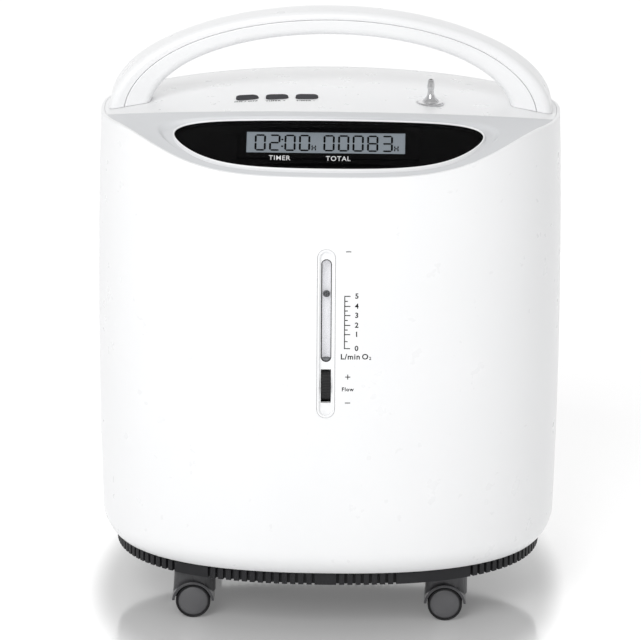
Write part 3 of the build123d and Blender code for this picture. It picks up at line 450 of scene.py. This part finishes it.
# ---------------------------------------------------------------- fascia and display
def fascia_panel(finish):
    """Grey fascia with its leaf-shaped recess, laid out in rings around the lens."""
    count = 288
    recess_x, recess_y, recess_depth = 15.0 * MM, 4.6 * MM, 3.4 * MM
    vertices = []
    seat = [(0.3 * MM, 5.0 * MM), (0.3 * MM, 2.0 * MM)]
    recess_rings, outer_rings = 12, 26
    rows = 2 + recess_rings + outer_rings + 2
    for row in range(rows):
        for k in range(count):
            angle = 2 * math.pi * k / count
            if row < 2:
                x, share = leaf_outline(angle, seat[row][0], seat[row][0])
                vertices.append(fascia_point(x, share, seat[row][1]))
                continue
            if row < 2 + recess_rings:
                t = (row - 2) / (recess_rings - 1)
                grow = 0.3 * MM
                x, share = leaf_outline(angle, grow + (recess_x - grow) * t, grow + (recess_y - grow) * t)
                share = max(0.004, min(0.996, share))
                vertices.append(fascia_point(x, share, recess_depth * (1 - smooth_step((t - 0.55) / 0.45))))
                continue
            t = min(1.0, (row - 1 - recess_rings) / outer_rings)
            x0, share0 = leaf_outline(angle, recess_x, recess_y)
            share0 = max(0.004, min(0.996, share0))
            x1 = FASCIA_HALF * math.cos(angle)
            share1 = 0.5 + 0.5 * max(-1.0, min(1.0, math.sin(angle) / 0.1))
            skirt = 0.0
            if row >= 2 + recess_rings + outer_rings:
                skirt = (0.5 * MM, 4.0 * MM)[row - 2 - recess_rings - outer_rings]
            vertices.append(fascia_point(x0 + (x1 - x0) * t, share0 + (share1 - share0) * t, skirt))
    mesh = mesh_from("fascia_panel", vertices, rings_to_faces(rows, count))
    return new_object("fascia_panel", mesh, ROOT, finish, ["display_bezel"])


def lens_bead(finish):
    """Thin bright bead around the lens."""
    count = 288
    profile = [(-0.1, 3.0), (-0.1, 0.70), (0.1, 0.40), (0.4, 0.25), (0.7, 0.25), (1.0, 0.40), (1.2, 0.80),
               (1.25, 4.5)]
    vertices = []
    for out, sink in profile:
        for k in range(count):
            x, share = leaf_outline(2 * math.pi * k / count, out * MM, out * MM)
            vertices.append(fascia_point(x, share, sink * MM))
    mesh = mesh_from("lens_bead", vertices, rings_to_faces(len(profile), count))
    return new_object("lens_bead", mesh, ROOT, finish)


def lens_well(finish):
    """Black wall just inside the lens's edge, so that nothing pale shows through it."""
    count = 288
    vertices = []
    for sink in (1.15, 3.4):
        for k in range(count):
            x, share = leaf_outline(2 * math.pi * k / count, -0.25 * MM, -0.25 * MM)
            vertices.append(fascia_point(x, share, sink * MM))
    mesh = mesh_from("lens_well", vertices, rings_to_faces(2, count))
    return new_object("lens_well", mesh, ROOT, finish)


def case_lip(finish):
    """Rounded top edge of the case: down at the display, up on the dome elsewhere."""
    count = 400
    profile = []
    steps = 8
    for i in range(steps + 1):
        turn = math.pi * i / steps
        profile.append((1.5 - 1.55 * math.cos(turn), 0.9 * math.sin(turn) - 0.55))
    profile = [(profile[0][0], -2.0)] + profile + [(profile[-1][0], -2.0)]
    vertices = []
    for inset, rise in profile:
        for k in range(count):
            angle = 2 * math.pi * k / count
            x, y = wall_point(angle, inset * MM, 0.425)
            edge = dome_z(x, y)
            if y < WIDE_Y:
                edge = min(edge, dip_z(x))
            x, y = wall_point(angle, inset * MM, edge)
            vertices.append((x, y, edge + rise * MM))
    mesh = mesh_from("case_lip", vertices, rings_to_faces(len(profile), count))
    return new_object("case_lip", mesh, ROOT, finish)


def panel_frame(height):
    """Matrix of the display's face: X to the right, Y up the slope, Z out of it."""
    low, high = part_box("lcd_panel")
    half_slope = (high.y - low.y - 3.4 * MM * math.sin(PANEL_TILT)) / 2
    centre = Vector((0, low.y + half_slope, high.z - half_slope * math.tan(PANEL_TILT)))
    out = Vector((0, -math.sin(PANEL_TILT), math.cos(PANEL_TILT)))
    up = Vector((0, math.cos(PANEL_TILT), math.sin(PANEL_TILT)))
    centre = centre + out * height
    return Matrix(((1, 0, 0, centre.x), (0, up.y, out.y, centre.y), (0, up.z, out.z, centre.z), (0, 0, 0, 1)))


SEGMENTS = {
    "0": "abcdef", "1": "bc", "2": "abged", "3": "abgcd", "4": "fgbc",
    "5": "afgcd", "6": "afgedc", "7": "abc", "8": "abcdefg", "9": "abcdfg", "H": "fegbc",
}


def segment_shapes(width, height, stroke):
    """Outlines of a seven-segment digit's strokes about its lower left corner."""
    half = stroke / 2
    gap = stroke * 0.12
    middle_y = height / 2

    def level(y):
        x0, x1 = half + gap, width - half - gap
        return [(x0, y), (x0 + half, y + half), (x1 - half, y + half), (x1, y), (x1 - half, y - half),
                (x0 + half, y - half)]

    def upright(x, y0, y1):
        y0, y1 = y0 + gap, y1 - gap
        return [(x, y0), (x - half, y0 + half), (x - half, y1 - half), (x, y1), (x + half, y1 - half),
                (x + half, y0 + half)]

    return {
        "a": level(height - half), "g": level(middle_y), "d": level(half),
        "f": upright(half, middle_y, height - half), "b": upright(width - half, middle_y, height - half),
        "e": upright(half, half, middle_y), "c": upright(width - half, half, middle_y),
    }


def lcd_digits(finish):
    """Timer and hour meter readings in seven-segment strokes, on the display's face."""
    digit_w, digit_h, stroke = 9.6 * MM, 17.6 * MM, 1.75 * MM
    small_w, small_h, small_stroke = 3.9 * MM, 7.2 * MM, 1.1 * MM
    pitch = 12.3 * MM
    base_y = -9.0 * MM
    shapes = []
    groups = (("02", -62.4), ("00", -37.2), ("00083", -4.2))
    for text, start in groups:
        for i, letter in enumerate(text):
            for name in SEGMENTS[letter]:
                outline = segment_shapes(digit_w, digit_h, stroke)[name]
                shapes.append([(start * MM + i * pitch + x, base_y + y) for x, y in outline])
    for start in (-14.2, 55.6):
        for name in SEGMENTS["H"]:
            outline = segment_shapes(small_w, small_h, small_stroke)[name]
            shapes.append([(start * MM + x, base_y + y) for x, y in outline])
    for y in (5.0 * MM, 12.2 * MM):
        x = -39.0 * MM
        dot = 0.95 * MM
        shapes.append([(x + dot * math.cos(2 * math.pi * k / 12), base_y + y + dot * math.sin(2 * math.pi * k / 12))
                       for k in range(12)][::-1])
    place = panel_frame(0.05 * MM)
    vertices, faces = [], []
    for outline in shapes:
        start = len(vertices)
        vertices += [place @ Vector((x, y, 0)) for x, y in outline]
        faces.append(tuple(range(start, start + len(outline)))[::-1])
    mesh = mesh_from("lcd_digits", vertices, faces, smooth=False)
    return new_object("lcd_digits", mesh, ROOT, finish)


# ---------------------------------------------------------------- printed marks
INK = 0.06 * MM          # printed marks stand this proud of their surface


def prisms(name, outlines, lay, thickness):
    """One mesh of flat closed shapes, each laid on a surface by lay(x, y, height)."""
    vertices, faces = [], []
    for outline in outlines:
        start, count = len(vertices), len(outline)
        vertices += [lay(x, y, thickness) for x, y in outline]
        vertices += [lay(x, y, 0.0) for x, y in outline]
        faces.append(tuple(start + k for k in range(count)))
        faces.append(tuple(start + count + k for k in reversed(range(count))))
        for k in range(count):
            after = (k + 1) % count
            faces.append((start + k, start + count + k, start + count + after, start + after))
    return mesh_from(name, vertices, faces, smooth=False)


def rectangle(x0, x1, y0, y1):
    return [(x0, y0), (x1, y0), (x1, y1), (x0, y1)]


def lettering(name, texts, lay, thickness, boldness=0.02):
    """One mesh of short texts; each is (words, height of a capital, centre x, centre y)."""
    whole = bmesh.new()
    for words, tall, centre_x, centre_y in texts:
        curve = bpy.data.curves.new(name + "_text", "FONT")
        curve.body = words
        curve.size = tall / 0.69
        curve.align_x = "CENTER"
        curve.align_y = "CENTER"
        curve.resolution_u = 4
        curve.offset = boldness * curve.size
        curve.space_character = 1.12
        curve.extrude = 1.0
        text = bpy.data.objects.new(name + "_text", curve)
        bpy.context.scene.collection.objects.link(text)
        bpy.context.view_layer.update()
        glyphs = bpy.data.meshes.new_from_object(text.evaluated_get(bpy.context.evaluated_depsgraph_get()))
        for v in glyphs.vertices:
            height = thickness if v.co.z > 0 else 0.0
            v.co = lay(centre_x + v.co.x, centre_y + v.co.y, height)
        whole.from_mesh(glyphs)
        bpy.data.objects.remove(text)
        bpy.data.curves.remove(curve)
        bpy.data.meshes.remove(glyphs)
    mesh = bpy.data.meshes.new(name)
    whole.to_mesh(mesh)
    whole.free()
    return mesh


def on_front(x, z, height):
    """A place on the front wall, height proud of it."""
    return Vector((x, front_wall_y(x, 0, z) - height, z))


def on_cover(x, y, height):
    """A place on the domed top cover, height proud of it."""
    return Vector((x, y, dome_z(x, y) + height))


def under_lens(x, share, height):
    """A place on the back of the lens, which is share of the way down the fascia."""
    return fascia_point(x, share, 3.42 * MM + height)


def flow_scale(finish):
    """Flow scale beside the tube: upright line, long and short ticks, digits and signs."""
    slot_low, slot_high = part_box("flow_bezel")
    ball = middle("flow_float").z
    heights = [ball - 0.0455, ball - 0.0331, ball - 0.0249, ball - 0.0162, ball - 0.0081, ball + 0.0008]
    line_x, tick_x, short_x = 15.6 * MM, 20.4 * MM, 18.2 * MM
    thick = 0.75 * MM
    shapes = [rectangle(line_x - thick / 2, line_x + thick / 2, heights[0] - thick / 2, heights[-1] + thick / 2)]
    for z in heights:
        shapes.append(rectangle(line_x, tick_x, z - thick / 2, z + thick / 2))
    for low, high in zip(heights, heights[1:]):
        z = (low + high) / 2
        shapes.append(rectangle(line_x, short_x, z - thick / 2, z + thick / 2))
    dash_x, plus_half = 18.6 * MM, 2.2 * MM
    top_z = slot_high.z - 1.6 * MM
    plus_z = middle("flow_wheel").z + 9.2 * MM
    minus_z = middle("flow_wheel").z - 14.0 * MM
    shapes.append(rectangle(dash_x - plus_half, dash_x + plus_half, top_z - thick / 2, top_z + thick / 2))
    shapes.append(rectangle(dash_x - plus_half, dash_x + plus_half, minus_z - thick / 2, minus_z + thick / 2))
    shapes.append(rectangle(dash_x - plus_half, dash_x + plus_half, plus_z - thick / 2, plus_z + thick / 2))
    shapes.append(rectangle(dash_x - thick / 2, dash_x + thick / 2, plus_z - plus_half, plus_z + plus_half))
    marks = prisms("flow_scale", shapes, on_front, INK)
    new_object("flow_scale", marks, ROOT, finish)
    texts = [(str(i), 4.4 * MM, 25.8 * MM, z) for i, z in enumerate(heights)]
    texts.append(("L/min", 4.6 * MM, 20.6 * MM, heights[0] - 7.5 * MM))
    texts.append(("O", 4.6 * MM, 33.2 * MM, heights[0] - 7.5 * MM))
    texts.append(("2", 2.6 * MM, 37.4 * MM, heights[0] - 8.8 * MM))
    texts.append(("Flow", 3.3 * MM, dash_x, middle("flow_wheel").z - 2.0 * MM))
    letters = lettering("flow_scale_digits", texts, on_front, INK)
    return new_object("flow_scale_digits", letters, ROOT, finish)


def button_marks(finish):
    """Small generic words in front of the three buttons."""
    texts = []
    for button, words in (("power_button", "ON / OFF"), ("timer_up_button", "TIMER +"),
                          ("timer_down_button", "TIMER -")):
        place = middle(button)
        texts.append((words, 3.0 * MM, place.x - 1.0 * MM, place.y - 11.5 * MM))
    letters = lettering("button_marks", texts, on_cover, INK)
    return new_object("button_marks", letters, ROOT, finish)


def display_marks(finish):
    """White words on the back of the lens, under the two readings."""
    share_per_metre = 1 / 0.0745
    vertices = lambda x, y, height: under_lens(x, y * share_per_metre, height)
    texts = [("TIMER", 4.2 * MM, -40.8 * MM, -0.706 / share_per_metre),
             ("TOTAL", 4.2 * MM, 8.7 * MM, -0.706 / share_per_metre)]
    flipped = lambda x, y, height: vertices(x, -y, -height)
    letters = lettering("display_marks", texts, flipped, INK, 0.006)
    return new_object("display_marks", letters, ROOT, finish)


def display_surround(finish):
    """Black frame that leaves the display's window open."""
    window = (-69.2 * MM, 64.9 * MM, 11.1 * MM)
    outer = (-79.0 * MM, 79.0 * MM, 17.0 * MM)
    place = panel_frame(0.0)
    vertices, faces = [], []
    rims = [(window, -0.2), (window, 0.35), (outer, 0.35), (outer, -0.2)]
    for (left, right, half_y), height in rims:
        for x, y in ((left, -half_y), (right, -half_y), (right, half_y), (left, half_y)):
            vertices.append(place @ Vector((x, y, height * MM)))
    mesh = mesh_from("display_surround", vertices, rings_to_faces(len(rims), 4), smooth=False)
    return new_object("display_surround", mesh, ROOT, finish)


# ---------------------------------------------------------------- flow meter and casters
def tube_gasket(finish):
    """Dark seal around the flow tube's window."""
    low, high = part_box("flow_tube")
    half = 4.3 * MM
    z0, z1 = low.z + half, high.z - half
    face_y = low.y + 0.15 * MM
    points = []
    steps = 16
    for i in range(steps + 1):
        turn = math.pi * i / steps
        points.append(Vector((half * math.cos(turn), face_y, z1 + half * math.sin(turn))))
    for i in range(steps + 1):
        turn = math.pi + math.pi * i / steps
        points.append(Vector((half * math.cos(turn), face_y, z0 + half * math.sin(turn))))
    vertices, faces = tube_along(points, 0.6 * MM, 10, closed=True)
    mesh = mesh_from("tube_gasket", vertices, faces)
    return new_object("tube_gasket", mesh, ROOT, finish)


def pale_trough():
    """Off-white trough, made a little bright by a painted glow that stands in for the daylight reaching it through
    the clear tube.
    """
    made = moulded("pale_trough", (0.80, 0.80, 0.82), (0.84, 0.84, 0.86), (0.45, 0.55), 900.0, 0.00002)
    shader = made.node_tree.nodes["Principled BSDF"]
    # Painted light: the trough glows to brighten its shaded inside.
    shader.inputs["Emission Color"].default_value = (0.92, 0.92, 0.95, 1)
    shader.inputs["Emission Strength"].default_value = 0.30
    return made


def tube_channel(finish):
    """Pale trough behind the float, seen through the clear tube."""
    low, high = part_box("flow_tube")
    axis_y = middle("flow_float").y
    radius = 3.6 * MM
    steps = 16
    vertices = []
    for z in (low.z + 1.0 * MM, high.z - 1.0 * MM):
        for i in range(steps + 1):
            turn = math.pi * i / steps
            vertices.append((radius * math.cos(turn), axis_y + radius * math.sin(turn), z))
    faces = [(i + 1, i, i + steps + 1, i + steps + 2) for i in range(steps)]
    mesh = mesh_from("tube_channel", vertices, faces)
    return new_object("tube_channel", mesh, ROOT, finish)


def lathe(profile, centre, axis_sign, segments=64):
    """Rings of a turned shape about a line along Y; profile is (radius, offset outwards)."""
    vertices = []
    for radius, out in profile:
        for k in range(segments):
            turn = 2 * math.pi * k / segments
            vertices.append(Vector((centre.x + radius * math.cos(turn), centre.y + axis_sign * out,
                                    centre.z + axis_sign * radius * math.sin(turn))))
    return vertices, rings_to_faces(len(profile), segments)


def turned_pair(name, corner, profile, finish, replaced=()):
    """A turned shape on both sides of a caster's middle plane, riding on its wheels."""
    centre = middle("caster_wheels_" + corner)
    vertices, faces = [], []
    for side in (-1, 1):
        ring, quads = lathe([(r * MM, out * MM) for r, out in profile], centre, side)
        start = len(vertices)
        vertices += ring
        faces += [tuple(start + i for i in quad) for quad in quads]
    mesh = mesh_from(name + "_" + corner, vertices, faces)
    return new_object(name + "_" + corner, mesh, "caster_roll_" + corner, finish, replaced)


def caster_wheel_pair(corner, tyre_finish, cap_finish):
    """Twin wheels: a black tyre, and a lighter domed cap set into its outer face."""
    name = "caster_wheels_" + corner
    low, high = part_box(name)
    radius = (high.z - low.z) / 2 / MM
    face = (high.y - low.y) / 2 / MM
    inner = 6.3
    tyre = [(2.0, inner), (radius - 1.0, inner), (radius - 0.3, inner + 0.5), (radius, inner + 1.6),
            (radius, face - 2.4), (radius - 0.3, face - 1.2), (radius - 0.9, face - 0.7), (radius - 1.7, face - 0.9),
            (radius - 2.0, face - 2.4)]
    turned_pair("caster_tyres", corner, tyre, tyre_finish, [name])
    cap_r, crown = radius - 1.9, 2.1
    steps = 14
    cap = [(cap_r, face - 3.0)]
    for i in range(steps + 1):
        share = 1 - i / steps
        cap.append((max(0.02, cap_r * share), face - crown * share ** 2.6))
    turned_pair("caster_caps", corner, cap, cap_finish)


def hood_edges(corner, finish):
    """Rounded light-catching rims on the two open ends of a caster's hood."""
    axle = middle("caster_wheels_" + corner)
    low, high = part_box("caster_hood_" + corner)
    radius = 17.2 * MM
    vertices, faces = [], []
    start_turn = math.radians(6)
    steps = 36
    for y in (low.y + 0.75 * MM, high.y - 0.75 * MM):
        points = []
        for i in range(steps + 1):
            turn = start_turn + (math.pi - 2 * start_turn) * i / steps
            points.append(Vector((axle.x + radius * math.cos(turn), y, axle.z + radius * math.sin(turn))))
        ring, quads = tube_along(points, 0.95 * MM, 10)
        start = len(vertices)
        vertices += ring
        faces += [tuple(start + i for i in quad) for quad in quads]
    mesh = mesh_from("hood_rims_" + corner, vertices, faces)
    return new_object("hood_rims_" + corner, mesh, "caster_fork_" + corner, finish)


def hood_shoulder(corner, finish):
    """Upright rounded shoulder between the hood's round cover and the base."""
    axle = middle("caster_wheels_" + corner)
    low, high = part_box("caster_hood_" + corner)
    half_x, half_y, corner_r = 17.3 * MM, 13.0 * MM, 7.0 * MM
    foot_z, top_z = axle.z + 5.0 * MM, high.z - 0.5 * MM
    taper = 1.5 * MM
    levels = [(foot_z, 0.0), (top_z - 4.0 * MM, taper * 0.5), (top_z - 1.0 * MM, taper), (top_z, taper + 1.0 * MM)]
    vertices = []
    count = 0
    for z, inset in levels:
        ring = []
        for sx, sy, start in ((1, 1, 0), (-1, 1, 90), (-1, -1, 180), (1, -1, 270)):
            for i in range(7):
                turn = math.radians(start + 15 * i)
                ring.append(Vector((
                    axle.x + sx * (half_x - corner_r) + (corner_r - inset) * math.cos(turn),
                    axle.y + sy * (half_y - corner_r) + (corner_r - inset) * math.sin(turn), z)))
        count = len(ring)
        vertices += ring
    faces = [tuple(reversed(face)) for face in rings_to_faces(len(levels), count)]
    faces.append(tuple(range((len(levels) - 1) * count, len(levels) * count)))
    faces.append(tuple(reversed(range(count))))
    mesh = mesh_from("hood_shoulder_" + corner, vertices, faces)
    return new_object("hood_shoulder_" + corner, mesh, "caster_fork_" + corner, finish)


# ---------------------------------------------------------------- stage, light and camera
def studio():
    """White glossy table that runs out of view, inside a white surround."""
    mesh = mesh_from("floor", [(-6, -6, 0), (6, -6, 0), (6, 9, 0), (-6, 9, 0)], [(0, 1, 2, 3)])
    floor = bpy.data.objects.new("floor", mesh)
    bpy.context.scene.collection.objects.link(floor)
    mesh.materials.append(table_finish())
    surround()


def table_finish():
    """Gloss white, with a painted pool of shadow under the machine that darkens its colour and its glow."""
    finish, tree, shader = material("table")
    place = tree.nodes.new("ShaderNodeTexCoord")
    axes = tree.nodes.new("ShaderNodeSeparateXYZ")
    tree.links.new(place.outputs["Object"], axes.inputs["Vector"])

    def maths(operation, first, second):
        step = tree.nodes.new("ShaderNodeMath")
        step.operation = operation
        for socket, value in zip(step.inputs, (first, second)):
            if isinstance(value, float):
                socket.default_value = value
            else:
                tree.links.new(value, socket)
        return step.outputs["Value"]

    # Painted shadow: a soft ellipse about the machine's footprint scales the table's colour and glow down to 0.56.
    pool_x, pool_y = 0.200, 0.200
    across = maths("POWER", maths("ABSOLUTE", maths("DIVIDE", axes.outputs["X"], pool_x), 0.0), 6.0)
    along = maths("POWER", maths("ABSOLUTE", maths("DIVIDE", axes.outputs["Y"], pool_y), 0.0), 2.0)
    painted_shadow = tree.nodes.new("ShaderNodeMapRange")
    painted_shadow.interpolation_type = "SMOOTHSTEP"
    for name, value in (("From Min", 0.6), ("From Max", 1.4), ("To Min", 0.56), ("To Max", 1.0)):
        painted_shadow.inputs[name].default_value = value
    tree.links.new(maths("ADD", across, along), painted_shadow.inputs["Value"])
    drift = ramp(tree, noise(tree, 3.0), (0.95, 0.95, 0.95), (0.96, 0.96, 0.96))
    shaded = tree.nodes.new("ShaderNodeVectorMath")
    shaded.operation = "SCALE"
    tree.links.new(drift, shaded.inputs[0])
    tree.links.new(painted_shadow.outputs["Result"], shaded.inputs["Scale"])
    tree.links.new(shaded.outputs["Vector"], shader.inputs["Base Color"])
    # The table's even glow is dimmed by the same painted shadow.
    tree.links.new(maths("MULTIPLY", painted_shadow.outputs["Result"], 0.24), shader.inputs["Emission Strength"])
    shader.inputs["Emission Color"].default_value = (1, 1, 1, 1)
    tree.links.new(spread(tree, noise(tree, 12.0), 0.08, 0.12), shader.inputs["Roughness"])
    shader.inputs["IOR"].default_value = 1.65
    return finish


def surround():
    """Even white surround, brighter behind the machine so that its edges catch light."""
    world = bpy.data.worlds.new("studio_world")
    bpy.context.scene.world = world
    world.use_nodes = True
    tree = world.node_tree
    sky = tree.nodes["Background"]
    sky.inputs["Color"].default_value = (1.0, 1.0, 1.0, 1)
    place = tree.nodes.new("ShaderNodeTexCoord")
    axes = tree.nodes.new("ShaderNodeSeparateXYZ")
    tree.links.new(place.outputs["Generated"], axes.inputs["Vector"])
    strength = tree.nodes.new("ShaderNodeMapRange")
    for name, value in (("From Min", 0.25), ("From Max", 1.0), ("To Min", 0.56), ("To Max", 1.10)):
        strength.inputs[name].default_value = value
    tree.links.new(axes.outputs["Y"], strength.inputs["Value"])
    tree.links.new(strength.outputs["Result"], sky.inputs["Strength"])


def soft_light(name, place, aim, size, power):
    data = bpy.data.lights.new(name, "AREA")
    data.shape = "RECTANGLE"
    data.size, data.size_y = size
    data.energy = power
    lamp = bpy.data.objects.new(name, data)
    lamp.location = place
    lamp.rotation_euler = (Vector(aim) - Vector(place)).to_track_quat("-Z", "Y").to_euler()
    bpy.context.scene.collection.objects.link(lamp)


def camera():
    """Long lens, a little above the object and almost straight in front of it."""
    distance = 5.5
    elevation = math.radians(17.3)
    swing = math.radians(1.0)
    roll = math.radians(0.4)
    lens = 355.2
    look_at = Vector((0.0, 0.0125, 0.2577))
    away = Vector((math.sin(swing) * math.cos(elevation), -math.cos(swing) * math.cos(elevation),
                   math.sin(elevation)))
    right = (-away).cross(Vector((0, 0, 1))).normalized()
    up = right.cross(-away).normalized()
    right, up = right * math.cos(roll) + up * math.sin(roll), up * math.cos(roll) - right * math.sin(roll)
    place = look_at + away * distance
    # The object stands a little right of the middle and a little high.
    target = look_at - right * 0.00783 - up * 0.01739
    back = (place - target).normalized()
    right = (right - back * right.dot(back)).normalized()
    up = back.cross(right)
    data = bpy.data.cameras.new("camera")
    data.lens = lens
    data.sensor_width = 36.0
    data.clip_end = 60.0
    view = bpy.data.objects.new("camera", data)
    view.matrix_world = Matrix((
        (right.x, up.x, back.x, place.x),
        (right.y, up.y, back.y, place.y),
        (right.z, up.z, back.z, place.z),
        (0, 0, 0, 1)))
    bpy.context.scene.collection.objects.link(view)
    bpy.context.scene.camera = view
    bpy.context.scene.view_settings.view_transform = "Standard"


# ---------------------------------------------------------------- put it together
finishes = all_materials()
dress_cad_nodes(finishes)
for shell in ("front_case", "rear_case", "top_cover"):
    smooth_skin(shell)
fascia_panel(finishes["light_grey_fascia"])
lens_bead(finishes["white_case"])
lens_well(finishes["black_inner"])
case_lip(finishes["white_case"])
lcd_digits(finishes["black_inner"])
display_surround(finishes["black_inner"])
display_marks(finishes["white_case"])
flow_scale(finishes["black_inner"])
button_marks(finishes["button_grey"])
tube_gasket(finishes["soft_rubber"])
# The trough behind the float is lit by painted glow.
tube_channel(pale_trough())
for corner in ("front_left", "front_right", "rear_left", "rear_right"):
    caster_wheel_pair(corner, finishes["wheel_black"], finishes["caster_tread"])
    hood_edges(corner, finishes["caster_plastic"])
    hood_shoulder(corner, finishes["caster_plastic"])
studio()
soft_light("key", (-1.1, -3.2, 2.75), (0, 0, 0.25), (2.2, 2.2), 82.0)
camera()
